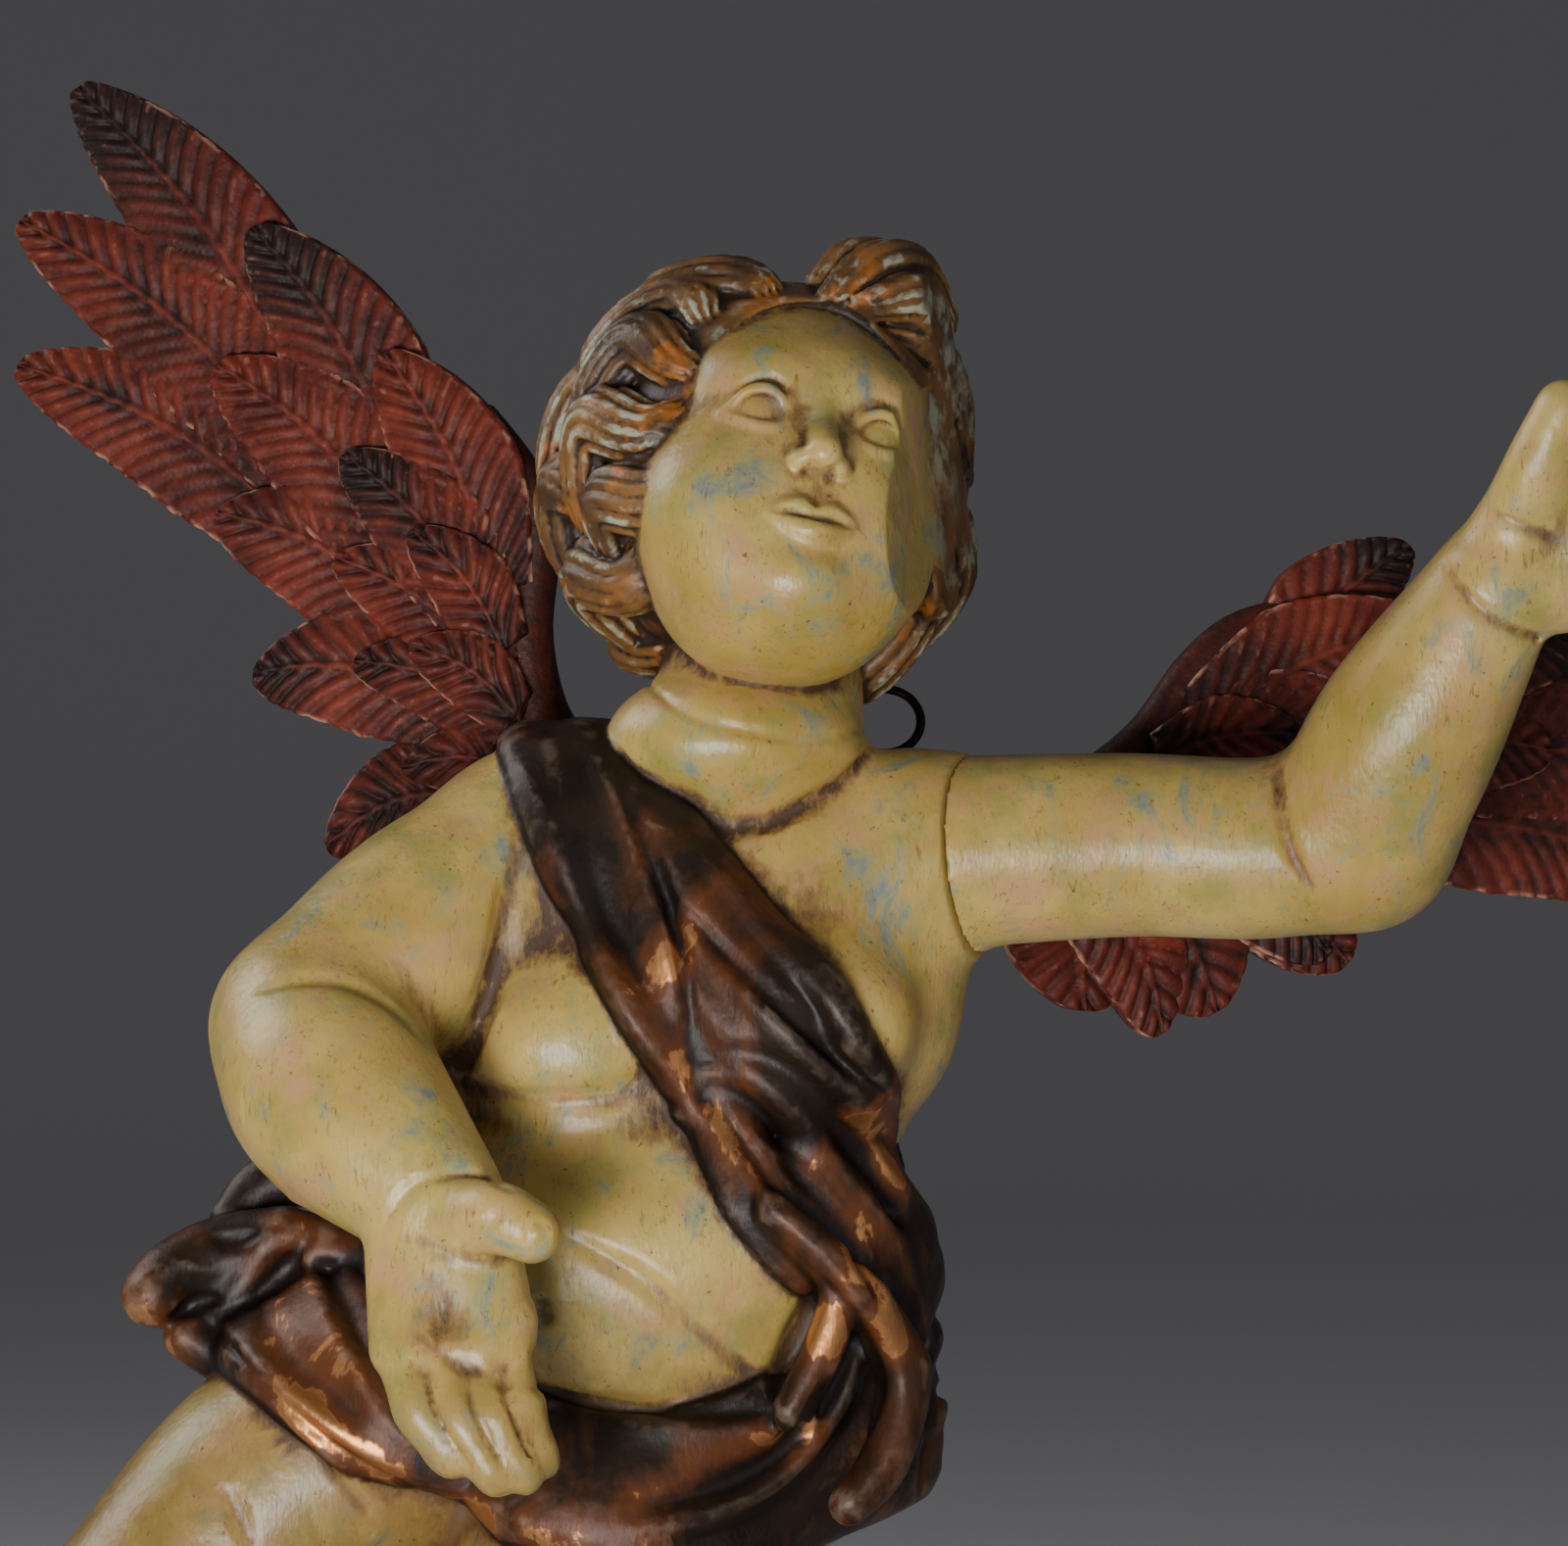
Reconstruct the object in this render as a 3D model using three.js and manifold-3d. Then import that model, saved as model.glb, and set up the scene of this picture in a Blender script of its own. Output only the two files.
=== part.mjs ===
// Carved and painted wooden angel: a winged child in a gilded sash, one arm let in at the shoulder,
// two carved wings let into the back, a wire ring behind the neck, and a low oval base.
// Millimetres, +Z up, the figure faces -Y. The origin is the centre of the base's underside.
import * as THREE from "three";
import { mergeVertices } from "three/addons/utils/BufferGeometryUtils.js";
import Module from "manifold-3d";

const wasm = await Module();
wasm.setup();

// Driving sizes
const figureHeight = 650; // soles to the top of the hair
const clearance = 0.35; // gap between two pieces that meet
const baseLength = 340;
const baseWidth = 230;
const baseHeight = 34;
const baseEdgeRound = 9;
const wingLength = 310; // root to the tip of the longest feather
const wingThickness = 9; // the board at the root, without its feathers
const wingSweep = 13; // degrees that each wing leans back from the shoulders
const wingDepth = 72; // from the figure's middle plane back to the wing's board
const leftWingTurn = 42; // degrees that the left wing lies lower than the right one
const tenonWidth = 22;
const tenonHeight = 30;
const tenonReach = 44; // length of the tenon, in front of the wing's board
const seatMargin = 6; // free room round a wing's foot in its seat
const seatDepth = 19; // from the wing's board forward to the flat seat cut in the back
const ringDiameter = 25; // to the middle of the wire
const ringWire = 3.2;
const ringLeg = 14; // how far the ring's shank goes into the back

// The figure is drawn in units of its own height, so that its pose keeps its proportions.
const unitsHigh = 650;
const unit = figureHeight / unitsHigh;
const gap = clearance / unit;
const figureShift = [46, 14]; // the figure's own origin, from the middle of the base
const radians = THREE.MathUtils.degToRad;

// Small vector helpers on plain arrays, which are quick enough for a million samples
const add = (a, b) => [a[0] + b[0], a[1] + b[1], a[2] + b[2]];
const minus = (a, b) => [a[0] - b[0], a[1] - b[1], a[2] - b[2]];
const times = (a, s) => [a[0] * s, a[1] * s, a[2] * s];
const mix = (a, b, t) => add(times(a, 1 - t), times(b, t));
const cross = (a, b) => [a[1] * b[2] - a[2] * b[1], a[2] * b[0] - a[0] * b[2], a[0] * b[1] - a[1] * b[0]];
const unitVector = (a) => times(a, 1 / (Math.hypot(...a) || 1));

// Distances to simple forms, negative inside. A form far away only says how far its box is.
const FAR = 24;

function ellipsoid([cx, cy, cz], [rx, ry, rz]) {
  return (x, y, z) => {
    const dx = (x - cx) / rx;
    const dy = (y - cy) / ry;
    const dz = (z - cz) / rz;
    const k = Math.hypot(dx, dy, dz);
    const g = Math.hypot(dx / rx, dy / ry, dz / rz);
    return g < 1e-9 ? -Math.min(rx, ry, rz) : (k * (k - 1)) / g;
  };
}

function ball(centre, r) {
  const [cx, cy, cz] = centre;
  return (x, y, z) => Math.hypot(x - cx, y - cy, z - cz) - r;
}

// A limb through several points, with a radius at each, rounded at both ends
function limb(points, radii) {
  const bones = points.slice(1).map((b, i) => {
    const a = points[i];
    const d = minus(b, a);
    return { a, d, ll: d[0] ** 2 + d[1] ** 2 + d[2] ** 2, r: radii[i], dr: radii[i + 1] - radii[i] };
  });
  const low = [0, 1, 2].map((i) => Math.min(...points.map((p, j) => p[i] - radii[j])));
  const high = [0, 1, 2].map((i) => Math.max(...points.map((p, j) => p[i] + radii[j])));
  return (x, y, z) => {
    const out = Math.hypot(
      Math.max(low[0] - x, 0, x - high[0]),
      Math.max(low[1] - y, 0, y - high[1]),
      Math.max(low[2] - z, 0, z - high[2]),
    );
    if (out > FAR) return out;
    let best = 1e9;
    for (const { a, d, ll, r, dr } of bones) {
      const px = x - a[0];
      const py = y - a[1];
      const pz = z - a[2];
      const t = Math.min(1, Math.max(0, (px * d[0] + py * d[1] + pz * d[2]) / ll));
      best = Math.min(best, Math.hypot(px - t * d[0], py - t * d[1], pz - t * d[2]) - (r + t * dr));
    }
    return best;
  };
}

// Joins two distances with a rounded hollow of about k between them
function soft(a, b, k) {
  const h = Math.max(k - Math.abs(a - b), 0);
  return Math.min(a, b) - (h * h) / (4 * k);
}

const joined = (forms, k) => (x, y, z) => {
  let d = 1e9;
  for (const form of forms) d = soft(form(x, y, z), d, k);
  return d;
};

// A carved line: the skin sinks by depth along a path, over about width
function creases(paths) {
  const lines = paths.map(({ path, depth, width }) => ({
    near: limb(path, path.map(() => 0)),
    depth,
    width,
  }));
  return (x, y, z) => {
    let sunk = 0;
    for (const { near, depth, width } of lines) {
      const d = near(x, y, z) / width;
      if (d < 3) sunk = Math.max(sunk, depth * Math.exp(-d * d));
    }
    return sunk;
  };
}

// Points along a smooth curve through the given ones
function through(points, count, closed = false) {
  const curve = new THREE.CatmullRomCurve3(
    points.map((p) => new THREE.Vector3(...p)),
    closed,
    "centripetal",
  );
  return curve.getPoints(count).map((v) => v.toArray());
}

// The way out of a form at a point, by small differences
function outward(form, p) {
  const e = 0.5;
  return unitVector(
    [0, 1, 2].map((i) => {
      const q = [...p];
      const o = [...p];
      q[i] += e;
      o[i] -= e;
      return form(...q) - form(...o);
    }),
  );
}

// Moves a rough point onto the skin of a form, then out by lift
function onSkin(form, rough, lift) {
  let p = rough;
  for (let i = 0; i < 8; i++) p = add(p, times(outward(form, p), -0.9 * (form(...p) - lift)));
  return p;
}

// Torso: pelvis, belly, chest and the bar of the shoulders, leaning towards the raised arm
const pelvis = [-12, 8, 236];
const belly = [-13, -8, 292];
const chest = [10, 2, 378];
const shoulderRight = [-46, 2, 424];
const shoulderLeft = [80, 2, 428];
const torso = joined(
  [
    ellipsoid(pelvis, [92, 62, 58]),
    ellipsoid(belly, [91, 65, 64]),
    ellipsoid(chest, [87, 55, 64]),
    limb([shoulderRight, shoulderLeft], [35, 34]),
    limb([shoulderRight, [-66, -4, 366]], [32, 25]),
    ellipsoid([-34, -44, 366], [28, 18, 22]),
    ellipsoid([50, -42, 372], [28, 18, 22]),
  ],
  26,
);

// Right arm, held down and forward with an open hand
const elbowRight = [-118, -45, 371];
const wristRight = [-77, -104, 320];
const armRight = joined(
  [
    limb([shoulderRight, [-84, -22, 402], elbowRight], [37, 36, 33]),
    limb([elbowRight, [-108, -76, 350], wristRight], [33, 35, 23]),
  ],
  9,
);

// A hand is four bones from the wrist fanned out to the knuckles, blended into a palm, and jointed fingers
function hand({ wrist, heels, knuckles, middles, tips, fingerRadii, thumb, thumbRadii, palmRadius }) {
  const palm = heels.map((h, i) => limb([h, knuckles[i]], [palmRadius, palmRadius - 2.5]));
  const fingers = knuckles.map((k, i) =>
    limb([k, middles[i], tips[i]], [fingerRadii[i] + 0.8, fingerRadii[i], fingerRadii[i] - 1]),
  );
  const palmForm = joined([...palm, ball(wrist, palmRadius + 7)], 9);
  const thumbForm = limb(thumb, thumbRadii);
  return (x, y, z) => {
    let d = soft(palmForm(x, y, z), thumbForm(x, y, z), 7);
    for (const f of fingers) d = soft(d, f(x, y, z), 1.8);
    return d;
  };
}

const handRight = hand({
  wrist: wristRight,
  heels: [[-86, -110, 308], [-77, -112, 310], [-68, -113, 311], [-61, -112, 312]],
  knuckles: [[-86, -126, 272], [-73, -129, 270], [-61, -129, 272], [-51, -126, 276]],
  middles: [[-79, -137, 254], [-65, -141, 251], [-54, -140, 252], [-46, -135, 257]],
  tips: [[-68, -139, 239], [-54, -142, 233], [-45, -140, 233], [-39, -135, 237]],
  fingerRadii: [7.6, 6.8, 6.2, 5.6],
  thumb: [[-66, -116, 312], [-55, -132, 315], [-43, -137, 310]],
  thumbRadii: [13, 11.5, 10],
  palmRadius: 12,
});

// Left arm, raised sideways with the forearm up
const elbowLeft = [229, -14, 435];
const wristLeft = [270, -50, 516];
const armLeft = joined(
  [
    limb([shoulderLeft, [150, -2, 431], [196, -8, 430], elbowLeft], [33, 31, 30.5, 31]),
    limb([elbowLeft, [243, -32, 468], wristLeft], [31, 31.5, 21.5]),
  ],
  9,
);
const handLeft = hand({
  wrist: wristLeft,
  heels: [[274, -54, 532], [282, -56, 528], [289, -56, 521], [293, -54, 513]],
  knuckles: [[301, -62, 566], [309, -64, 556], [315, -63, 545], [317, -60, 534]],
  middles: [[314, -70, 582], [325, -73, 570], [332, -72, 556], [333, -68, 542]],
  tips: [[324, -80, 595], [338, -84, 581], [346, -82, 565], [346, -77, 549]],
  fingerRadii: [7, 7, 6.6, 6],
  thumb: [[276, -58, 536], [283, -70, 556], [290, -76, 574]],
  thumbRadii: [13, 11.5, 9.5],
  palmRadius: 12,
});

// Legs: the right one steps out to the side, bent, with its heel up, and the left one carries the figure
const hipLeft = [-4, -8, 228];
const kneeLeft = [-46, -50, 144];
const ankleLeft = [-18, 4, 42];
const hipRight = [-76, 0, 242];
const kneeRight = [-180, -24, 166];
const ankleRight = [-166, 52, 68];
const legs = joined(
  [
    limb([hipLeft, mix(hipLeft, kneeLeft, 0.5), kneeLeft], [50, 49, 36]),
    limb([kneeLeft, [-32, -10, 96], ankleLeft], [35, 31, 20]),
    limb([ankleLeft, [-17, 14, 22]], [20, 20]),
    limb([ankleLeft, [-24, -24, 19], [-31, -50, 14]], [19, 19, 14]),
    limb([hipRight, [-134, -10, 212], kneeRight], [52, 45, 37]),
    limb([kneeRight, [-178, 20, 118], ankleRight], [35, 31, 20]),
    limb([ankleRight, [-166, 62, 52]], [20, 17]),
    limb([ankleRight, [-160, 30, 26], [-158, 2, 15]], [18, 17, 13]),
  ],
  9,
);
// Five toes in a row across the front of a foot
function toes(root, across, forward, first) {
  return Array.from({ length: 5 }, (_, i) => {
    const r = first - i * 1.1;
    const start = add(root, times(across, i * 7.6 - 15));
    return limb([start, add(start, times(forward, 17 - i * 2.4))], [r + 0.6, r]);
  });
}
const allToes = joined(
  [
    ...toes([-32, -50, 9], [-1, 0.12, 0], [-0.1, -1, -0.05], 8.5),
    ...toes([-158, 4, 9], [1, 0.05, 0], [0.05, -1, -0.05], 8.5),
  ],
  2.5,
);

// Head: an orthodox child's head in its own frame (right, forward, up), then turned and tipped back
const headCentre = [34, -4, 549];
const headRoll = 12; // towards the raised arm
const headYaw = 12;
const headPitch = 30; // looking up
const headTurn = new THREE.Matrix4()
  .makeRotationY(radians(headRoll))
  .multiply(new THREE.Matrix4().makeRotationZ(radians(headYaw)))
  .multiply(new THREE.Matrix4().makeRotationX(radians(-headPitch)));
const headBack = headTurn.clone().transpose().elements;
const inHead = (form) => (x, y, z) => {
  const dx = x - headCentre[0];
  const dy = y - headCentre[1];
  const dz = z - headCentre[2];
  const m = headBack;
  return form(
    m[0] * dx + m[4] * dy + m[8] * dz,
    m[1] * dx + m[5] * dy + m[9] * dz,
    m[2] * dx + m[6] * dy + m[10] * dz,
  );
};
const both = (make) => [make(1), make(-1)];

const faceMass = joined(
  [
    ellipsoid([0, 6, 12], [54, 60, 60]),
    ellipsoid([0, -8, -18], [48, 48, 50]),
    ...both((s) => ball([s * 25, -28, -28], 25)),
    ellipsoid([0, -18, -52], [37, 34, 22]),
    ball([0, -42, -57], 12),
    ellipsoid([0, -40, 16], [36, 16, 14]),
  ],
  16,
);
const sockets = both((s) => ellipsoid([s * 20, -61, -1], [13, 9, 8.5]));
const faceDetail = joined(
  [
    ...both((s) => ball([s * 20, -45.5, -3], 9.5)),
    ...both((s) => limb([[s * 10, -53, -4], [s * 19, -56.5, 3.5], [s * 31, -49, -4]], [1.6, 2.4, 1.6])),
    ...both((s) => limb([[s * 10, -53, -4], [s * 19, -54.5, -9.5], [s * 31, -49, -4]], [1.4, 1.9, 1.4])),
    limb([[0, -52, 5], [0, -62.6, -20]], [4.2, 6.6]),
    ...both((s) => ball([s * 6.6, -56.6, -22.5], 5)),
    limb([[-13, -51, -41], [0, -58.5, -38.6], [13, -51, -41]], [1.6, 3.4, 1.6]),
    limb([[-10, -51, -44], [0, -56.5, -46.4], [10, -51, -44]], [1.6, 4, 1.6]),
  ],
  2.5,
);
const faceLines = creases([
  { path: [[-15, -51, -41], [0, -60, -42.2], [15, -51, -41]], depth: 2.2, width: 2 },
  ...both((s) => ({ path: [[s * 3.7, -61.5, -26.4], [s * 5, -57, -26.8]], depth: 3, width: 2.2 })),
]);
const face = (x, y, z) => {
  let d = faceMass(x, y, z);
  if (d > FAR) return d;
  for (const s of sockets) d = -soft(-d, s(x, y, z), 7);
  return soft(d, faceDetail(x, y, z), 3.5) + faceLines(x, y, z);
};

// Hair: parted above the forehead and combed back in locks that swell and lie over one another.
// A place on the skull is a turn around the head's front-back line and a fall from the brow to the nape.
const hairCentre = [0, 12, 12];
const hairRadii = [62, 66, 66];
const onSkull = (turn, fall, lift) => [
  hairCentre[0] + (hairRadii[0] + lift) * Math.sin(radians(turn)) * Math.sin(radians(fall)),
  hairCentre[1] - (hairRadii[1] + lift) * Math.cos(radians(fall)),
  hairCentre[2] + (hairRadii[2] + lift) * Math.cos(radians(turn)) * Math.sin(radians(fall)),
];
function lock(turn, from, to, radius, sway) {
  const side = Math.sign(turn + 8) || 1;
  const steps = 5;
  const path = Array.from({ length: steps + 1 }, (_, i) => {
    const t = i / steps;
    const wave = sway * Math.sin(Math.PI * 1.6 * t);
    return onSkull(turn + side * (wave + 10 * t), from + (to - from) * t, 1 + 4 * Math.sin(Math.PI * t));
  });
  return limb(path, path.map((_, i) => radius * (0.5 + 0.5 * Math.sin(Math.PI * (0.15 + 0.75 * (i / steps))))));
}
const lockRows = [
  { from: 47, to: 92, radius: 12, turns: [-120, -98, -76, -55, -34, 12, 34, 58, 82, 106] },
  { from: 81, to: 127, radius: 12.7, turns: [-130, -104, -78, -50, -22, 16, 44, 74, 102, 128] },
  { from: 115, to: 166, radius: 12.7, turns: [-150, -108, -66, -24, 20, 64, 108, 150] },
];
const locks = lockRows.flatMap(({ from, to, radius, turns }) =>
  turns.map((turn, i) => lock(turn, from + 5 * (i % 2), to + 5 * (i % 2), radius, 9)),
);
const forelockRise = 16; // how far the tuft over the brow stands off the skull
const forelock = [
  limb([[4, -40, 56], [18, -40, 70], [34, -30, 76], [48, -18, 70]], [5, 9, 10, 6]),
  limb([[2, -30, 66], [14, -28, 78], [30, -18, 82], [42, -6, 76]], [5, 9, 9, 6]),
  limb([[12, -46, 50], [28, -42, 60], [44, -32, 62], [54, -20, 56]], [4, 8, 8, 5]),
];
const hairMass = ellipsoid(hairCentre, hairRadii);
const faceOpening = ellipsoid([0, -62, -20], [47, 64, 74]);
const napeCut = ellipsoid([0, -30, -78], [60, 62, 34]);
const curls = joined([...locks, ...forelock], 2.5);
function hair(x, y, z) {
  const d = hairMass(x, y, z);
  if (d > FAR + forelockRise) return d - forelockRise;
  return Math.max(soft(curls(x, y, z), d, 3), -faceOpening(x, y, z), -napeCut(x, y, z));
}

// Neck, with the soft roll of a child's throat under the jaw
const neck = joined(
  [limb([[24, 6, 440], [30, 4, 490]], [36, 34]), ellipsoid([20, -12, 466], [43, 38, 25])],
  10,
);

// Lines that the carver cut where the flesh folds
const fleshLines = creases([
  { path: through([[-142, -62, 388], [-122, -79, 388], [-100, -82, 380], [-84, -70, 366]], 6), depth: 4.5, width: 4 },
  { path: through([[-96, -108, 306], [-90, -122, 322], [-74, -128, 330], [-58, -122, 328]], 6), depth: 4, width: 3.4 },
  { path: through([[-58, -38, 424], [-66, -47, 392], [-74, -52, 360]], 6), depth: 6, width: 4.5 },
  { path: through([[199, -24, 462], [204, -40, 446], [208, -45, 430], [212, -42, 412]], 6), depth: 4.5, width: 3.6 },
  { path: through([[256, -60, 524], [266, -70, 514], [280, -70, 506], [292, -58, 503]], 6), depth: 3.6, width: 3 },
  { path: through([[-70, -68, 306], [-30, -79, 288], [20, -70, 264]], 8), depth: 4, width: 4.5 },
  { path: through([[-66, -54, 352], [-36, -63, 344], [-8, -60, 352]], 6), depth: 3.5, width: 5 },
  { path: [[-48, -76, 279], [-46, -60, 277]], depth: 6, width: 4.5 },
  { path: through([[-10, -48, 497], [16, -56, 487], [44, -52, 484], [66, -38, 488]], 8), depth: 4.5, width: 3.4 },
  { path: through([[-14, -26, 463], [4, -42, 446], [26, -48, 440], [50, -38, 448], [62, -20, 460]], 8), depth: 6, width: 4 },
  { path: through([[-152, -52, 200], [-136, -58, 186], [-124, -50, 170]], 6), depth: 3.5, width: 4 },
]);

const bareFigure = joined([torso, neck, armRight, handRight, armLeft, handLeft, legs, allToes], 5);
const headForm = inHead(face);
const hairForm = inHead(hair);
const flesh = (x, y, z) => {
  const d = soft(bareFigure(x, y, z), headForm(x, y, z), 2.5);
  return d > FAR ? d : d + fleshLines(x, y, z);
};

// Gilded cloth: rolls that run side by side over the body. Each roll lies between two rough edge curves,
// is laid on the skin, and swells and thins along its length.
const bodyUnderCloth = joined([torso, legs], 14);
function rolls({ edgeA, edgeB, count, radius, lift, ripple, closed }) {
  const steps = 26;
  const a = through(edgeA, steps, closed);
  const b = through(edgeB, steps, closed);
  return Array.from({ length: count }, (_, i) => {
    const share = i / (count - 1);
    const path = a.map((p, j) => {
      const sway = ripple * Math.sin((j / steps) * 2 * Math.PI * 1.5 + i * 2.1);
      const rough = mix(p, b[j], Math.min(1, Math.max(0, share + sway * Math.sin(Math.PI * share))));
      return onSkin(bodyUnderCloth, rough, lift + 2.2 * Math.sin(i * 2.4 + j * 0.35));
    });
    const edge = share === 0 || share === 1 ? 0.72 : 1;
    return limb(path, path.map((_, j) => radius * edge * (0.84 + 0.16 * Math.cos(i * 1.7 + j * 0.5))));
  });
}
const sash = rolls({
  edgeA: [
    [-51, -22, 459], [-40, -45, 427], [-27, -58, 404], [-12, -64, 376], [3, -68, 356], [16, -72, 336], [28, -74, 312],
    [50, -66, 288], [88, -22, 266], [96, 30, 272], [60, 62, 304], [22, 62, 352], [-16, 52, 404], [-48, 24, 450],
  ],
  edgeB: [
    [-11, -22, 464], [4, -40, 442], [24, -50, 416], [46, -52, 388], [62, -46, 362], [76, -38, 338], [86, -24, 322],
    [96, 0, 310], [92, 30, 318], [72, 56, 338], [48, 60, 376], [14, 54, 428], [-8, 34, 456], [-18, 8, 470],
  ],
  count: 6,
  radius: 10.5,
  lift: 0,
  ripple: 0.14,
  closed: true,
});
const hipWrap = rolls({
  edgeA: [
    [98, -4, 300], [84, -42, 272], [52, -66, 254], [14, -76, 242], [-28, -78, 240], [-66, -70, 250], [-104, -46, 276],
    [-122, -8, 296], [-100, 48, 296], [-36, 72, 294], [44, 64, 296], [90, 30, 304],
  ],
  edgeB: [
    [92, -4, 204], [78, -42, 192], [40, -62, 184], [-2, -68, 192], [-44, -72, 210], [-84, -68, 226], [-124, -44, 246],
    [-150, -6, 266], [-112, 56, 236], [-36, 76, 206], [48, 64, 200], [88, 34, 204],
  ],
  count: 8,
  radius: 11,
  lift: 0,
  ripple: 0.12,
  closed: true,
});
const flyingEnd = [
  limb(
    through([[-104, -6, 296], [-128, -4, 300], [-150, 2, 294], [-172, -2, 280]], 6),
    [11, 12, 12, 12, 12.5, 12.5, 12.5],
  ),
  limb(through([[-96, 6, 300], [-122, 14, 312], [-146, 16, 306]], 4), [11, 11, 11, 10, 10]),
  limb(through([[-112, -16, 262], [-138, -10, 264], [-160, -4, 264]], 4), [11, 10, 10, 9, 9]),
  ellipsoid([-132, -3, 283], [42, 9, 23]),
];
const hipFolds = [
  limb(
    through([[34, -70, 312], [58, -66, 288], [75, -52, 260], [70, -58, 231], [58, -64, 216]], 6),
    [6, 8, 9, 9, 9, 8, 7],
  ),
  limb([[55, -66, 282], [48, -68, 264], [40, -70, 248]], [7, 7, 7]),
];
const cloth = joined([...sash, ...hipWrap, ...flyingEnd, ...hipFolds], 4);

const figureForm = (x, y, z) => {
  const head = Math.min(flesh(x, y, z), hairForm(x, y, z));
  return Math.max(soft(head, cloth(x, y, z), 1.2), -z);
};

// Samples a form on a grid, only near its skin, and joins the crossings into one closed surface
function skinOf(form, low, high, step) {
  const n = [0, 1, 2].map((i) => Math.ceil((high[i] - low[i]) / step) + 1);
  const at = (i, j, k) => (i * n[1] + j) * n[2] + k;
  const far = 1e3;
  const value = new Float32Array(n[0] * n[1] * n[2]).fill(far);
  const block = 4;
  const reach = block * step * 1.1;
  for (let i = 0; i < n[0]; i += block)
    for (let j = 0; j < n[1]; j += block)
      for (let k = 0; k < n[2]; k += block) {
        const middle = [i, j, k].map((c, axis) => low[axis] + (c + block / 2) * step);
        const d = form(...middle);
        const skip = Math.abs(d) > reach + 4;
        for (let a = i; a < Math.min(i + block, n[0]); a++)
          for (let b = j; b < Math.min(j + block, n[1]); b++)
            for (let c = k; c < Math.min(k + block, n[2]); c++)
              value[at(a, b, c)] = skip
                ? Math.sign(d) * far
                : form(low[0] + a * step, low[1] + b * step, low[2] + c * step);
      }
  fillCheckers(value, n, at);
  const corner = [0, 1, 2, 3, 4, 5, 6, 7].map((c) => [c & 1, (c >> 1) & 1, (c >> 2) & 1]);
  const edges = corner.flatMap((c, i) =>
    corner.map((_, j) => [i, j]).filter(([a, b]) => a < b && [1, 2, 4].includes(a ^ b)),
  );
  const vertexOf = new Int32Array(value.length).fill(-1);
  const points = [];
  for (let i = 0; i < n[0] - 1; i++)
    for (let j = 0; j < n[1] - 1; j++)
      for (let k = 0; k < n[2] - 1; k++) {
        const v = corner.map(([a, b, c]) => value[at(i + a, j + b, k + c)]);
        if (v.every((x) => x < 0) || v.every((x) => x >= 0)) continue;
        let count = 0;
        let sum = [0, 0, 0];
        for (const [a, b] of edges) {
          if (v[a] < 0 === v[b] < 0) continue;
          sum = add(sum, mix(corner[a], corner[b], v[a] / (v[a] - v[b])));
          count += 1;
        }
        vertexOf[at(i, j, k)] = points.length;
        points.push([0, 1, 2].map((axis) => low[axis] + ([i, j, k][axis] + sum[axis] / count) * step));
      }
  const faces = [];
  const steps = [n[1] * n[2], n[2], 1];
  for (let i = 1; i < n[0] - 1; i++)
    for (let j = 1; j < n[1] - 1; j++)
      for (let k = 1; k < n[2] - 1; k++) {
        const here = at(i, j, k);
        for (let axis = 0; axis < 3; axis++) {
          const inside = value[here] < 0;
          if (inside === value[here + steps[axis]] < 0) continue;
          const p = steps[(axis + 1) % 3];
          const q = steps[(axis + 2) % 3];
          const ring = [here - p - q, here - q, here, here - p].map((c) => vertexOf[c]);
          if (!inside) ring.reverse();
          faces.push([ring[0], ring[1], ring[2]], [ring[0], ring[2], ring[3]]);
        }
      }
  return { points, faces };
}

// Where the inside touches itself only across a cell's corner, one more sample is filled,
// so that no edge of the surface is shared by four faces
function fillCheckers(value, n, at) {
  const planes = [[[0, 1, 0], [0, 0, 1]], [[1, 0, 0], [0, 0, 1]], [[1, 0, 0], [0, 1, 0]]];
  for (let again = true; again; ) {
    again = false;
    for (let i = 0; i < n[0] - 1; i++)
      for (let j = 0; j < n[1] - 1; j++)
        for (let k = 0; k < n[2] - 1; k++)
          for (const [p, q] of planes) {
            const a = at(i, j, k);
            const b = at(i + p[0], j + p[1], k + p[2]);
            const c = at(i + p[0] + q[0], j + p[1] + q[1], k + p[2] + q[2]);
            const d = at(i + q[0], j + q[1], k + q[2]);
            const [ia, ib, ic, id] = [a, b, c, d].map((x) => value[x] < 0);
            if (ia === ic && ib === id && ia !== ib) {
              value[ia ? b : a] = -0.05;
              again = true;
            }
          }
  }
}

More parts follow.
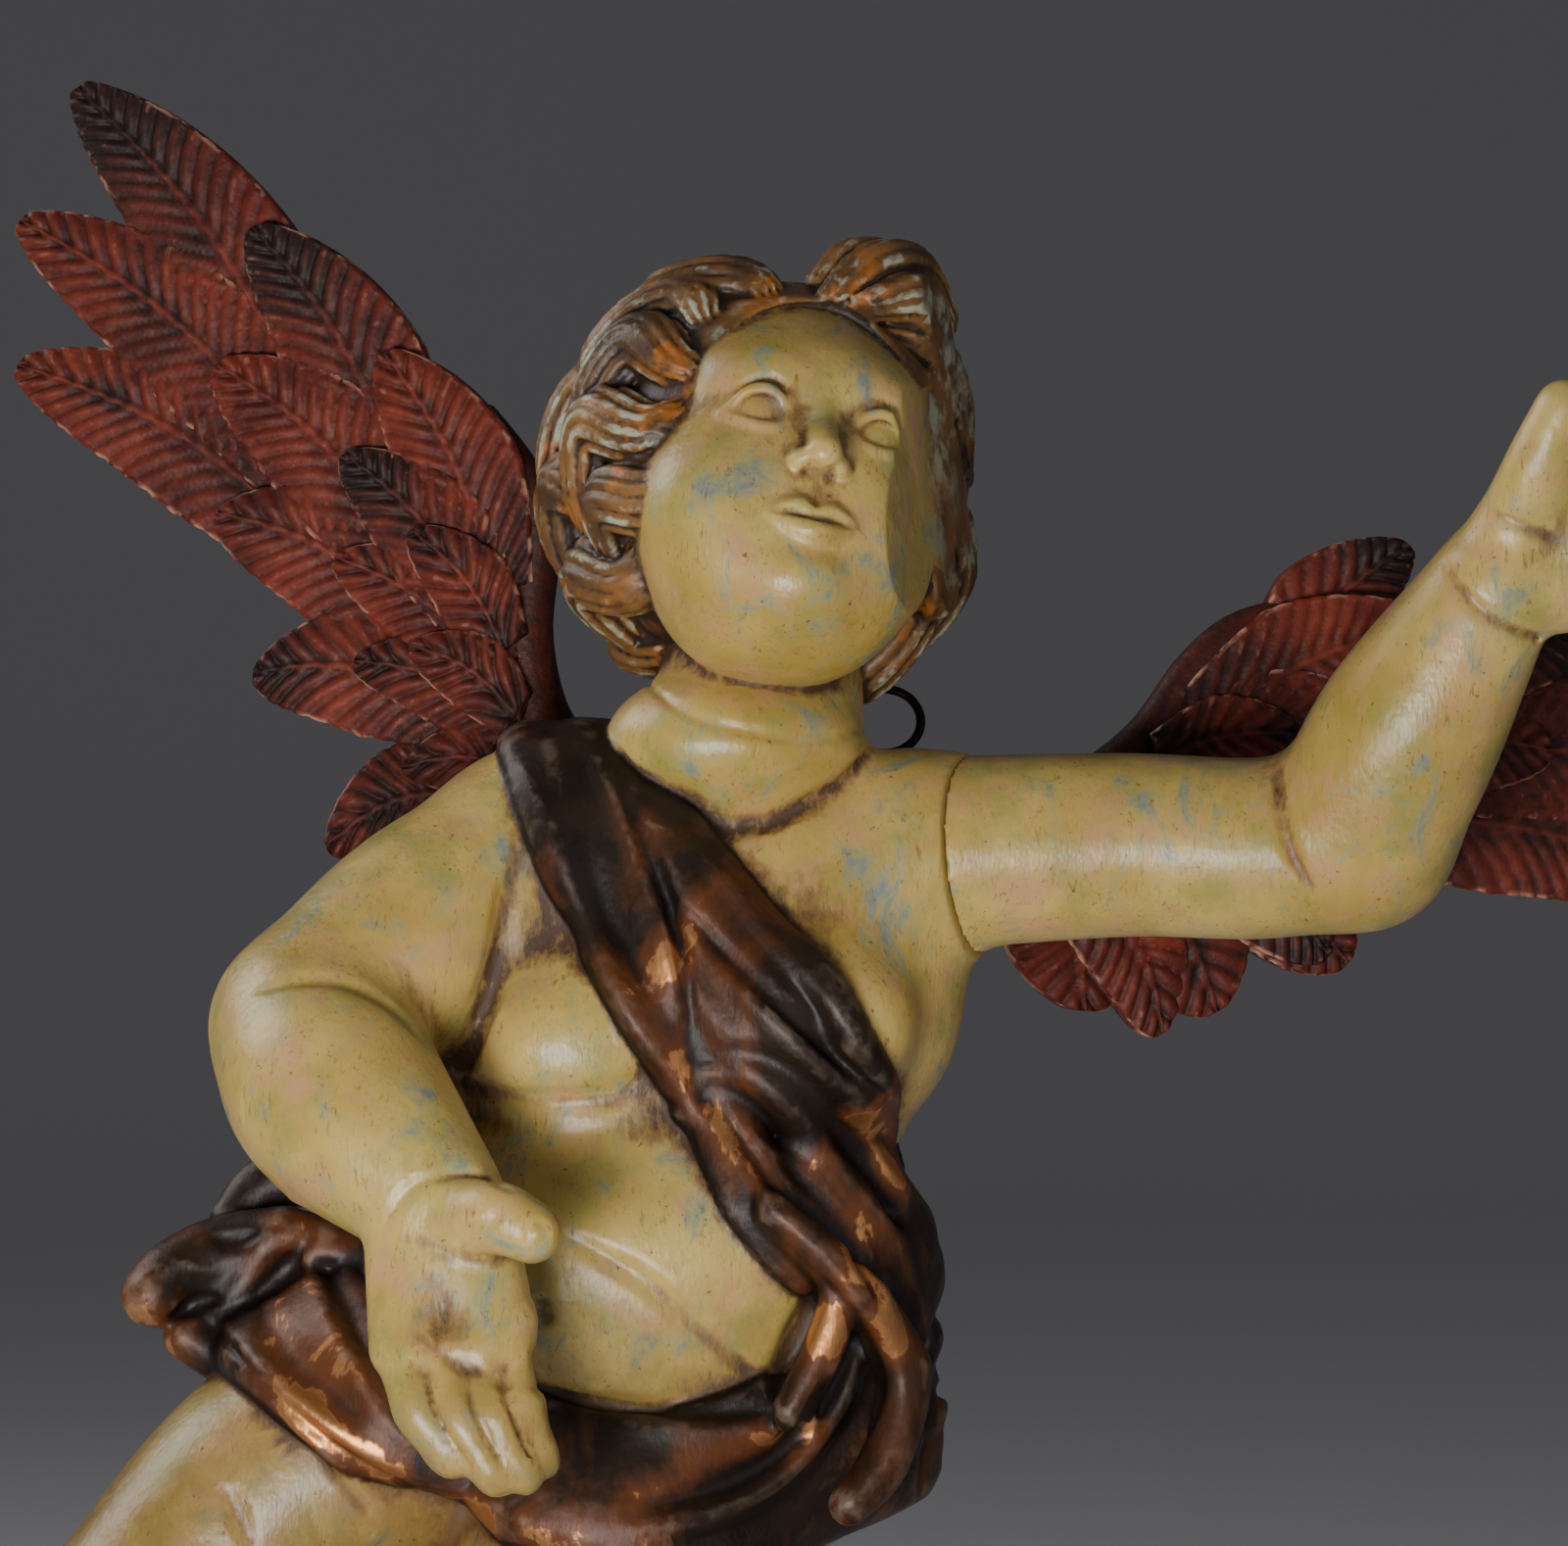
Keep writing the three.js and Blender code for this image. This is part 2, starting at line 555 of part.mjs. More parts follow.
// Joins edges, the flattest first, until a surface has few enough faces. Each vertex keeps the sum of the
// squared distances to the planes that it stood for, as a symmetric 4 x 4 matrix in ten numbers.
function simplified({ points, faces }, wanted) {
  const quadric = points.map(() => new Float64Array(10));
  const fans = points.map(() => new Set());
  const normalOf = (f, moved, to) => {
    const [a, b, c] = f.map((v) => (v === moved ? to : points[v]));
    return cross(minus(b, a), minus(c, a));
  };
  faces.forEach((f, index) => {
    const raw = normalOf(f);
    const area = Math.hypot(...raw);
    const [a, b, c] = unitVector(raw);
    const d = -(a * points[f[0]][0] + b * points[f[0]][1] + c * points[f[0]][2]);
    const plane = [a * a, a * b, a * c, a * d, b * b, b * c, b * d, c * c, c * d, d * d];
    for (const v of f) {
      fans[v].add(index);
      plane.forEach((x, i) => (quadric[v][i] += x * area));
    }
  });
  const errorAt = (q, [x, y, z]) =>
    q[0] * x * x + 2 * q[1] * x * y + 2 * q[2] * x * z + 2 * q[3] * x + q[4] * y * y +
    2 * q[5] * y * z + 2 * q[6] * y + q[7] * z * z + 2 * q[8] * z + q[9];
  const solve = (q) => {
    const m = new THREE.Matrix3().set(q[0], q[1], q[2], q[1], q[4], q[5], q[2], q[5], q[7]);
    const size = q[0] + q[4] + q[7];
    if (Math.abs(m.determinant()) < 1e-4 * size ** 3) return null;
    return new THREE.Vector3(-q[3], -q[6], -q[8]).applyMatrix3(m.invert()).toArray();
  };
  const stamp = new Int32Array(points.length);
  const heap = [];
  const swap = (i, j) => ([heap[i], heap[j]] = [heap[j], heap[i]]);
  const push = (item) => {
    let i = heap.push(item) - 1;
    while (i > 0 && heap[(i - 1) >> 1].cost > heap[i].cost) {
      swap(i, (i - 1) >> 1);
      i = (i - 1) >> 1;
    }
  };
  const pop = () => {
    const top = heap[0];
    const last = heap.pop();
    if (heap.length) {
      heap[0] = last;
      for (let i = 0; ; ) {
        let least = i;
        for (const child of [2 * i + 1, 2 * i + 2])
          if (child < heap.length && heap[child].cost < heap[least].cost) least = child;
        if (least === i) break;
        swap(i, least);
        i = least;
      }
    }
    return top;
  };
  const offer = (a, b) => {
    const q = quadric[a].map((x, i) => x + quadric[b][i]);
    const middle = mix(points[a], points[b], 0.5);
    const length = Math.hypot(...minus(points[a], points[b]));
    const best = solve(q);
    const near = best && Math.hypot(...minus(best, middle)) < 1.5 * length;
    const options = near ? [best] : [points[a], points[b], middle];
    const costs = options.map((p) => errorAt(q, p));
    const least = costs.indexOf(Math.min(...costs));
    push({ a, b, to: options[least], cost: costs[least] + 1e-3 * length * length, sa: stamp[a], sb: stamp[b] });
  };
  const around = (v) => new Set([...fans[v]].flatMap((f) => faces[f]).filter((w) => w !== v));
  faces.forEach((f) => [0, 1, 2].forEach((i) => f[i] < f[(i + 1) % 3] && offer(f[i], f[(i + 1) % 3])));
  let left = faces.length;
  while (left > wanted && heap.length) {
    const { a, b, to, sa, sb } = pop();
    if (sa !== stamp[a] || sb !== stamp[b]) continue;
    const nearA = around(a);
    const shared = [...around(b)].filter((v) => nearA.has(v));
    if (shared.length !== 2) continue;
    const turned = (v, other) =>
      [...fans[v]].some((f) => {
        if (faces[f].includes(other)) return false;
        const before = normalOf(faces[f]);
        const after = normalOf(faces[f], v, to);
        const dot = before[0] * after[0] + before[1] * after[1] + before[2] * after[2];
        return dot < 0.45 * Math.hypot(...before) * Math.hypot(...after) || Math.hypot(...after) < 0.02;
      });
    if (turned(a, b) || turned(b, a)) continue;
    points[a] = to;
    quadric[b].forEach((x, i) => (quadric[a][i] += x));
    for (const f of fans[b]) {
      if (faces[f].includes(a)) {
        faces[f].forEach((v) => fans[v].delete(f));
        faces[f] = null;
        left -= 1;
      } else {
        faces[f] = faces[f].map((v) => (v === b ? a : v));
        fans[a].add(f);
      }
    }
    fans[b].clear();
    stamp[a] += 1;
    stamp[b] += 1;
    for (const v of around(a)) offer(a, v);
  }
  return { points, faces: faces.filter(Boolean) };
}

function geometryOf({ points, faces }) {
  const geometry = new THREE.BufferGeometry();
  geometry.setAttribute("position", new THREE.Float32BufferAttribute(points.flat(), 3));
  geometry.setIndex(faces.flat());
  return geometry;
}

// Closed geometry to a solid for joining and cutting, and back
function solidOf(geometry) {
  const bare = geometry.clone();
  for (const name of Object.keys(bare.attributes)) if (name !== "position") bare.deleteAttribute(name);
  const merged = mergeVertices(bare, 1e-4);
  return new wasm.Manifold(
    new wasm.Mesh({
      numProp: 3,
      vertProperties: merged.attributes.position.array,
      triVerts: new Uint32Array(merged.index.array),
    }),
  );
}

// Fills the pockets that joining can close off inside a solid, which are surfaces that face inwards,
// and drops loose specks
const speckVolume = 20; // mm3
function withoutPockets(solid) {
  const { numProp, vertProperties, triVerts } = solid.getMesh();
  const point = (v) => Array.from(vertProperties.subarray(v * numProp, v * numProp + 3));
  const parent = Array.from({ length: vertProperties.length / numProp }, (_, i) => i);
  const find = (v) => {
    while (parent[v] !== v) v = parent[v] = parent[parent[v]];
    return v;
  };
  for (let i = 0; i < triVerts.length; i += 3) {
    parent[find(triVerts[i])] = find(triVerts[i + 1]);
    parent[find(triVerts[i + 1])] = find(triVerts[i + 2]);
  }
  const groups = new Map();
  for (let i = 0; i < triVerts.length; i += 3) {
    const key = find(triVerts[i]);
    if (!groups.has(key)) groups.set(key, { faces: [], volume: 0 });
    const group = groups.get(key);
    const face = [triVerts[i], triVerts[i + 1], triVerts[i + 2]];
    const [a, b, c] = face.map(point);
    const n = cross(b, c);
    group.faces.push(face);
    group.volume += a[0] * n[0] + a[1] * n[1] + a[2] * n[2];
  }
  const outer = [...groups.values()].filter((g) => g.volume > 6 * speckVolume).flatMap((g) => g.faces.flat());
  return new wasm.Manifold(new wasm.Mesh({ numProp, vertProperties, triVerts: new Uint32Array(outer) }));
}

function meshOf(name, solid, material) {
  const { numProp, vertProperties, triVerts } = solid.getMesh();
  const position = new Float32Array((vertProperties.length / numProp) * 3);
  for (let i = 0; i * numProp < vertProperties.length; i++)
    position.set(vertProperties.subarray(i * numProp, i * numProp + 3), i * 3);
  const geometry = new THREE.BufferGeometry();
  geometry.setAttribute("position", new THREE.BufferAttribute(position, 3));
  geometry.setIndex(new THREE.BufferAttribute(triVerts, 1));
  geometry.computeVertexNormals();
  const mesh = new THREE.Mesh(geometry, material);
  mesh.name = name;
  return mesh;
}

const boxAt = (size, centre, matrix) => {
  const geometry = new THREE.BoxGeometry(...size).translate(...centre);
  return solidOf(matrix ? geometry.applyMatrix4(matrix) : geometry);
};

// Feathers: leaf-shaped slips with a crowned face, a sunk quill and a flat back, on a bent line
const featherSteps = 5;
const featherColumns = [-1, -0.5, 0, 0.5, 1];
function feather({ root, tip, width, bend, level, thickness }) {
  const along = minus(tip, root);
  const side = unitVector([along[2], 0, -along[0]]);
  const half = (s) => (width / 2) * Math.min(1, 0.62 + 0.9 * s) * Math.max(0, 1 - s ** 2.8) ** 0.6;
  const crown = (c) => thickness * (0.5 + 0.5 * Math.sqrt(1 - 0.8 * c * c) - (c === 0 ? 0.16 : 0));
  const columns = featherColumns.length;
  const points = [];
  const faces = [];
  const quad = (a, b, c, d) => faces.push([a, b, c], [a, c, d]);
  for (let i = 0; i <= featherSteps; i++) {
    const s = 0.985 * Math.sin((Math.PI / 2) * (i / featherSteps)) ** 0.9;
    const centre = add(add(root, times(along, s)), times(side, bend * Math.sin(Math.PI * s)));
    const at = (c, y) => add(add(centre, times(side, c * half(s))), [0, y, 0]);
    points.push(...featherColumns.map((c) => at(c, -level - crown(c))), at(1, 3 - level), at(-1, 3 - level));
  }
  const ring = columns + 2;
  for (let i = 0; i < featherSteps; i++)
    for (let c = 0; c < ring; c++) {
      const next = (c + 1) % ring;
      quad(i * ring + c, i * ring + next, (i + 1) * ring + next, (i + 1) * ring + c);
    }
  const cap = (row, turn) => {
    const id = [...Array(ring).keys()].map((c) => row * ring + c);
    for (let c = 0; c < columns - 1; c++) {
      const far = c < 2 ? id[ring - 1] : id[ring - 2];
      faces.push(turn ? [id[c], id[c + 1], far] : [id[c + 1], id[c], far]);
    }
    faces.push(turn ? [id[2], id[ring - 2], id[ring - 1]] : [id[ring - 2], id[2], id[ring - 1]]);
  };
  cap(0, false);
  cap(featherSteps, true);
  const made = solidOf(geometryOf({ points, faces }));
  return made.volume() < 0 ? solidOf(geometryOf({ points, faces: faces.map((f) => [...f].reverse()) })) : made;
}

// A wing is drawn for the figure's right side: x outwards is negative, z up, from its root.
// Each row of feathers runs from its first (at the leading edge) through a middle one to its last.
const wingUnits = 277;
const wingUnit = wingLength / wingUnits;
const curve3 = (a, b, c, t) => a + (4 * b - 3 * a - c) * t + (2 * a + 2 * c - 4 * b) * t * t;
const rows = [
  {
    count: 3, level: 0, bend: 9, widths: [48, 46, 46],
    tips: [[-164, 226], [-183, 184], [-184, 138]],
    roots: [[-84, 112], [-84, 98], [-80, 74]],
  },
  {
    count: 5, level: 5, bend: 8, widths: [46, 46, 36],
    tips: [[-104, 180], [-116, 90], [-80, -15]],
    roots: [[-54, 88], [-48, 50], [-26, 0]],
  },
  {
    count: 5, level: 10, bend: 6, widths: [42, 34, 26],
    tips: [[-60, 140], [-76, 76], [-54, 10]],
    roots: [[-24, 62], [-22, 36], [-8, 4]],
  },
  {
    count: 3, level: 14, bend: 4, widths: [28, 26, 22],
    tips: [[-50, 84], [-50, 48], [-28, 12]],
    roots: [[-20, 46], [-16, 26], [-6, 4]],
  },
];
// The left wing has more feathers under the raised arm, and one more at its top
const leftFeathers = [
  { root: [-24, 16], tip: [-57, -26], width: 56, bend: -3, level: 3 },
  { root: [-34, 22], tip: [-89, 2], width: 50, bend: 3, level: 4 },
  { root: [-55, 42], tip: [-111, 42], width: 46, bend: 3, level: 3 },
  { root: [-34, 90], tip: [-38, 154], width: 36, bend: 5, level: 3 },
];
const wingFoot = [28, -34]; // middle of the wing's foot, where its tenon grows
const wingFootRadius = 17;
const leadingEdge = [[8, 0, -6], [-10, 0, 22], [-16, 0, 50], [-13, 0, 78], [-16, 0, 98], [-30, 0, 118]];
const wingPoint = ([x, z]) => times([x, 0, z], wingUnit);

function wingSolid(side) {
  const rowParts = rows.flatMap(({ count, tips, roots, widths, level, bend }) =>
    Array.from({ length: count }, (_, i) => {
      const t = i / (count - 1);
      const at = (three) => wingPoint([0, 1].map((k) => curve3(three[0][k], three[1][k], three[2][k], t)));
      return feather({
        root: at(roots),
        tip: at(tips),
        width: curve3(...widths, t) * wingUnit,
        bend: bend * wingUnit,
        level: level + 0.6 * (i % 2),
        thickness: wingThickness * 0.8,
      });
    }),
  );
  const more = (side === "left" ? leftFeathers : []).map(({ root, tip, width, bend, level }) =>
    feather({
      root: wingPoint(root),
      tip: wingPoint(tip),
      width: width * wingUnit,
      bend: bend * wingUnit,
      level,
      thickness: wingThickness * 0.8,
    }),
  );
  const parts = [...rowParts, ...more];
  const edgeRadius = wingThickness * 0.85;
  const edge = limb(
    through(leadingEdge.map((p) => times(p, wingUnit)), 10),
    Array.from({ length: 11 }, (_, i) => edgeRadius * (1.5 - 0.07 * i)),
  );
  const board = joined(
    [
      limb([[6, -4, -2], [-30, -4, 40], [-60, -4, 90]].map((p) => times(p, wingUnit)), [9, 10, 8]),
      limb([[-4, -4, 6], [wingFoot[0], -4, wingFoot[1]]].map((p) => times(p, wingUnit)), [16, wingFootRadius]),
      limb([[0, -4, -4], [-40, -4, 16], [-80, -4, 60]].map((p) => times(p, wingUnit)), [9, 9, 7]),
    ],
    10,
  );
  const slab = (x, y, z) => Math.max(board(x, y * 0.8, z), -y - 12, y - 4);
  const arm = joined([(x, y, z) => edge(x, y + 6, z), slab], 6);
  const [low, high] = [[-112, -30, -66], [56, 18, 168]].map((p) => times(p, wingUnit));
  const grown = simplified(skinOf(arm, low, high, 3.6), 300);
  return withoutPockets(parts.reduce((sum, p) => sum.add(p), solidOf(geometryOf(grown))));
}

// The wing's frame: root on the back of a shoulder, leaning back by the sweep
const wingRoots = {
  right: { at: [-34, 446], turn: 0 },
  left: { at: [112, 436], turn: leftWingTurn },
};
function wingMatrix(side) {
  const { at, turn } = wingRoots[side];
  const sign = side === "right" ? 1 : -1;
  return new THREE.Matrix4()
    .makeTranslation(at[0] * unit, wingDepth * unit, at[1] * unit)
    .multiply(new THREE.Matrix4().makeRotationZ(-sign * radians(wingSweep)))
    .multiply(new THREE.Matrix4().makeRotationY(radians(turn)))
    .multiply(new THREE.Matrix4().makeScale(sign, 1, 1));
}
// The tenon points straight forward from the wing's foot into a mortise in the back
const tenonCentre = (side) => {
  const foot = new THREE.Vector3(wingFoot[0], 0, wingFoot[1]).multiplyScalar(wingUnit);
  foot.applyMatrix4(wingMatrix(side));
  return [foot.x, foot.y - tenonReach / 2, foot.z];
};
// The flat seat that is cut in the back for a wing's root, square to the wing
const seatOuter = -76; // how far it runs outwards
const seatUpper = 68; // and upwards from the wing's own root
function seat(side) {
  const m = wingMatrix(side).invert().elements;
  const front = -seatDepth - 3 * clearance;
  const inner = wingFoot[0] * wingUnit + wingFootRadius + seatMargin;
  const lower = wingFoot[1] * wingUnit - wingFootRadius - seatMargin;
  return (x, y, z) => {
    const along = (i) => (m[i] * x + m[i + 4] * y + m[i + 8] * z) * unit + m[i + 12];
    const [across, deep, up] = [0, 1, 2].map(along);
    return Math.max(across - inner, seatOuter - across, up - seatUpper, lower - up, front - deep) / unit;
  };
}
const tenon = (side, grow) =>
  boxAt([tenonWidth + 2 * grow, tenonReach + 2 * grow, tenonHeight + 2 * grow], tenonCentre(side));

// A plain ring of wire on a straight shank
function ringSolid(at, grow) {
  const wire = ringWire / 2 + grow;
  const ring = solidOf(new THREE.TorusGeometry(ringDiameter / 2, wire, 6, 18));
  const shank = solidOf(
    new THREE.CylinderGeometry(wire, wire, ringLeg + 2 * grow, 8).translate(0, -(ringDiameter + ringLeg) / 2, 0),
  );
  const turn = new THREE.Matrix4().makeRotationX(radians(62)).setPosition(...at);
  return ring.add(shank).transform(turn.elements);
}

// Low oval base with a rounded upper edge
function baseSolid() {
  const top = baseHeight;
  const edge = Array.from({ length: 4 }, (_, i) => {
    const a = (Math.PI / 2) * (i / 3);
    return new THREE.Vector2(
      baseWidth / 2 - baseEdgeRound + baseEdgeRound * Math.cos(a),
      top - baseEdgeRound + baseEdgeRound * Math.sin(a),
    );
  });
  const [middle, rim, crown] = [[0, 0], [baseWidth / 2, 0], [0, top]].map(([r, h]) => new THREE.Vector2(r, h));
  const profile = [middle, rim, ...edge, crown];
  return solidOf(
    new THREE.LatheGeometry(profile, 32).rotateX(Math.PI / 2).scale(baseLength / baseWidth, 1, 1),
  );
}

// Materials, as the eye reads them on the real piece
const paint = (color, roughness, metalness) => new THREE.MeshStandardMaterial({ color, roughness, metalness });
const fleshPaint = paint(0xb39a5c, 0.42, 0);
const wingPaint = paint(0x6b2a20, 0.5, 0);
const basePaint = paint(0x4a3020, 0.5, 0);
const ironWire = paint(0x1d1b1a, 0.55, 1);

// The whole carving, then the raised arm sawn off at the shoulder by a thin slab
const carvedFaces = 4640;
const seats = [seat("right"), seat("left")];
const seatedForm = (x, y, z) => seats.reduce((d, cut) => Math.max(d, -cut(x, y, z)), figureForm(x, y, z));
const carvedSkin = simplified(skinOf(seatedForm, [-224, -160, -6], [368, 112, 664], 4), carvedFaces);
const carving = withoutPockets(solidOf(geometryOf(carvedSkin).scale(unit, unit, unit)));
const seamCentre = times([101, 0, 428], unit);
const seamTilt = radians(7); // the saw cut leans this much at its top
const seamTurn = radians(-20); // and its turn, which brings its front edge towards the chest
const seamMatrix = new THREE.Matrix4()
  .makeRotationZ(seamTurn)
  .multiply(new THREE.Matrix4().makeRotationY(seamTilt))
  .setPosition(...seamCentre);
const reach = 300 * unit;
const armpitDrop = 45 * unit; // how far the saw cut runs below the middle of the arm
const armBox = (shift) =>
  boxAt([reach * 2, reach * 2, reach], [reach + shift, 0, reach / 2 - armpitDrop], seamMatrix);
const armSolid = carving.intersect(armBox(clearance / 2));

const ringPlace = [71 * unit, 40 * unit, 473 * unit];
const wings = { right: null, left: null };
let bodySolid = carving.subtract(armBox(-clearance / 2));
for (const side of ["right", "left"]) {
  const board = wingSolid(side);
  const turned = board.transform(wingMatrix(side).elements);
  wings[side] = turned.add(tenon(side, 0));
  bodySolid = bodySolid.subtract(tenon(side, clearance));
}
bodySolid = bodySolid.subtract(ringSolid(ringPlace, clearance));

const figure = new THREE.Group();
figure.position.set(figureShift[0], figureShift[1], baseHeight + clearance);
figure.add(meshOf("figure", bodySolid, fleshPaint));
figure.add(meshOf("left_arm", armSolid, fleshPaint));
figure.add(meshOf("right_wing", wings.right, wingPaint));
figure.add(meshOf("left_wing", wings.left, wingPaint));
figure.add(meshOf("back_ring", ringSolid(ringPlace, 0), ironWire));

const angel = new THREE.Group();
angel.add(figure);
angel.add(meshOf("base", baseSolid(), basePaint));

export default angel;
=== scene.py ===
# %% [markdown]
# # A carved and painted wooden angel
# A winged child in a gilded sash, tipped back on one arm. The real one is carved from one block of lime
# wood, with the raised arm and the two wings let in, then coated with gesso, painted and toned.
# Everything is measured in millimetres in the figure's own frame, and turned to metres at the very end.
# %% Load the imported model
from functools import partial

import bmesh
import bpy
import numpy as np
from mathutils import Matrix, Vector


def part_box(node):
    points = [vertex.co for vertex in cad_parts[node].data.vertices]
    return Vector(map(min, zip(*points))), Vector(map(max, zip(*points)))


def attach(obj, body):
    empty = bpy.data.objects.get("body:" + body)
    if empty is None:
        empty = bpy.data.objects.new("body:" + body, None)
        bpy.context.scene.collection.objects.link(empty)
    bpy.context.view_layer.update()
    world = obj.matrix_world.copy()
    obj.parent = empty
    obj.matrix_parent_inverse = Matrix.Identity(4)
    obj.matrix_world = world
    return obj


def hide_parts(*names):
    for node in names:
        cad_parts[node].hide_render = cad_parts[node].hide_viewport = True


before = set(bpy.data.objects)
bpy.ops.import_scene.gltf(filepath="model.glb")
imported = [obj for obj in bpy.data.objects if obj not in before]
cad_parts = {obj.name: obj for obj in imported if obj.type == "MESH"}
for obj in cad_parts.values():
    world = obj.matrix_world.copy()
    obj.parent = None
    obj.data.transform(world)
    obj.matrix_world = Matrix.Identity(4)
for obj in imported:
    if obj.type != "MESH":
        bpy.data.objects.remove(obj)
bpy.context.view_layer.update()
base_low, base_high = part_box("base")

# %% [markdown]
# ## Camera and light
# The photograph looks level at the chest from about two metres with a long lens, and its light comes
# from low in front, so that the chin and the underside of the arm are bright. A long lens keeps the arms and
# the belly in proportion. The floor curves up into a wall far behind, so that no horizon cuts the picture.
# %% Camera
CAMERA_PLACE = (0.0826, -2.186, 0.4896)
CAMERA_LENS, SENSOR_WIDTH = 150.0, 36.0
camera = bpy.data.objects.new("camera", bpy.data.cameras.new("camera"))
camera.data.lens = CAMERA_LENS
camera.data.sensor_width = SENSOR_WIDTH
camera.location = CAMERA_PLACE
camera.rotation_euler = (np.pi / 2, 0.0, 0.0)
bpy.context.scene.collection.objects.link(camera)
bpy.context.scene.camera = camera
print("camera at", CAMERA_PLACE)


# %% Colours
def linear(colour):
    """sRGB hex to linear RGBA: c / 12.92 below 0.04045, else ((c + 0.055) / 1.055) ** 2.4."""
    channel = np.array([int(colour[i : i + 2], 16) / 255 for i in (1, 3, 5)])
    value = np.where(channel <= 0.04045, channel / 12.92, ((channel + 0.055) / 1.055) ** 2.4)
    return (*value.tolist(), 1.0)


PAPER = "#c9c7c9"
print("grey paper", linear(PAPER))


# %% Floor and studio light
def floor_mesh():
    """A floor strip carried up a quarter circle into a wall: profile y, z swept along x."""
    reach, bend_start, radius, wall_top = 40.0, 5.0, 6.0, 9.0
    turn = np.linspace(0, np.pi / 2, 49)
    y = np.concatenate([[-reach], bend_start + radius * np.sin(turn), [bend_start + radius]])
    z = np.concatenate([[0.0], radius * (1 - np.cos(turn)), [wall_top]])
    sides = np.array([-reach, reach])
    points = np.stack([np.repeat(sides, len(y)), np.tile(y, 2), np.tile(z, 2)], 1)
    faces = [(i, i + len(y), i + len(y) + 1, i + 1) for i in range(len(y) - 1)]
    mesh = bpy.data.meshes.new("studio_floor")
    mesh.from_pydata(points.tolist(), [], faces)
    mesh.shade_smooth()
    return mesh


floor = bpy.data.objects.new("studio_floor", floor_mesh())
bpy.context.scene.collection.objects.link(floor)
paper = bpy.data.materials.new("grey_paper")
paper.use_nodes = True
paper_shader = paper.node_tree.nodes["Principled BSDF"]
paper_shader.inputs["Base Color"].default_value = linear(PAPER)
paper_shader.inputs["Roughness"].default_value = 0.9
floor.data.materials.append(paper)


def soft_box(name, place, aim, size, power):
    """A square area light at place, its face turned to aim."""
    light = bpy.data.objects.new(name, bpy.data.lights.new(name, "AREA"))
    light.data.shape = "SQUARE"
    light.data.size = size
    light.data.energy = power
    light.location = place
    forward = np.array(aim, float) - np.array(place, float)
    flat = np.hypot(forward[0], forward[1])
    light.rotation_euler = (np.arctan2(flat, -forward[2]), 0.0, np.arctan2(-forward[0], forward[1]))
    bpy.context.scene.collection.objects.link(light)
    return light


HEART = (0.06, 0.0, 0.45)
soft_box("key_low_front", (-0.32, -1.35, 0.05), HEART, 0.6, 34)
soft_box("fill_right", (1.7, -1.3, 1.1), HEART, 1.4, 5.0)
soft_box("rim_left", (-1.5, 0.5, 1.5), HEART, 0.9, 16)
world = bpy.data.worlds.new("studio_air")
world.use_nodes = True
world.node_tree.nodes["Background"].inputs["Color"].default_value = linear("#d9dbe0")
world.node_tree.nodes["Background"].inputs["Strength"].default_value = 0.15
bpy.context.scene.world = world

# %% [markdown]
# ## Carving as distances
# A carved figure has no seams between an arm and a chest: one form melts into the next, and a knife line
# bites into both. Loose surfaces would have to be stitched there. So the figure is made another way: on a
# grid of points, every form says how far each point is from its own skin, and two forms are joined by taking
# the smaller distance, rounded where they are close. The skin is where the distance is nought.
# %% Grid and forms
REAL = np.float32
FAR = REAL(60)


def soft(a, b, width):
    """Smaller of two distances, lowered by h * h / (4 width), where h = width - |a - b| above nought."""
    h = np.maximum(REAL(width) - np.abs(a - b), 0)
    return np.minimum(a, b) - h * h / REAL(4 * width)


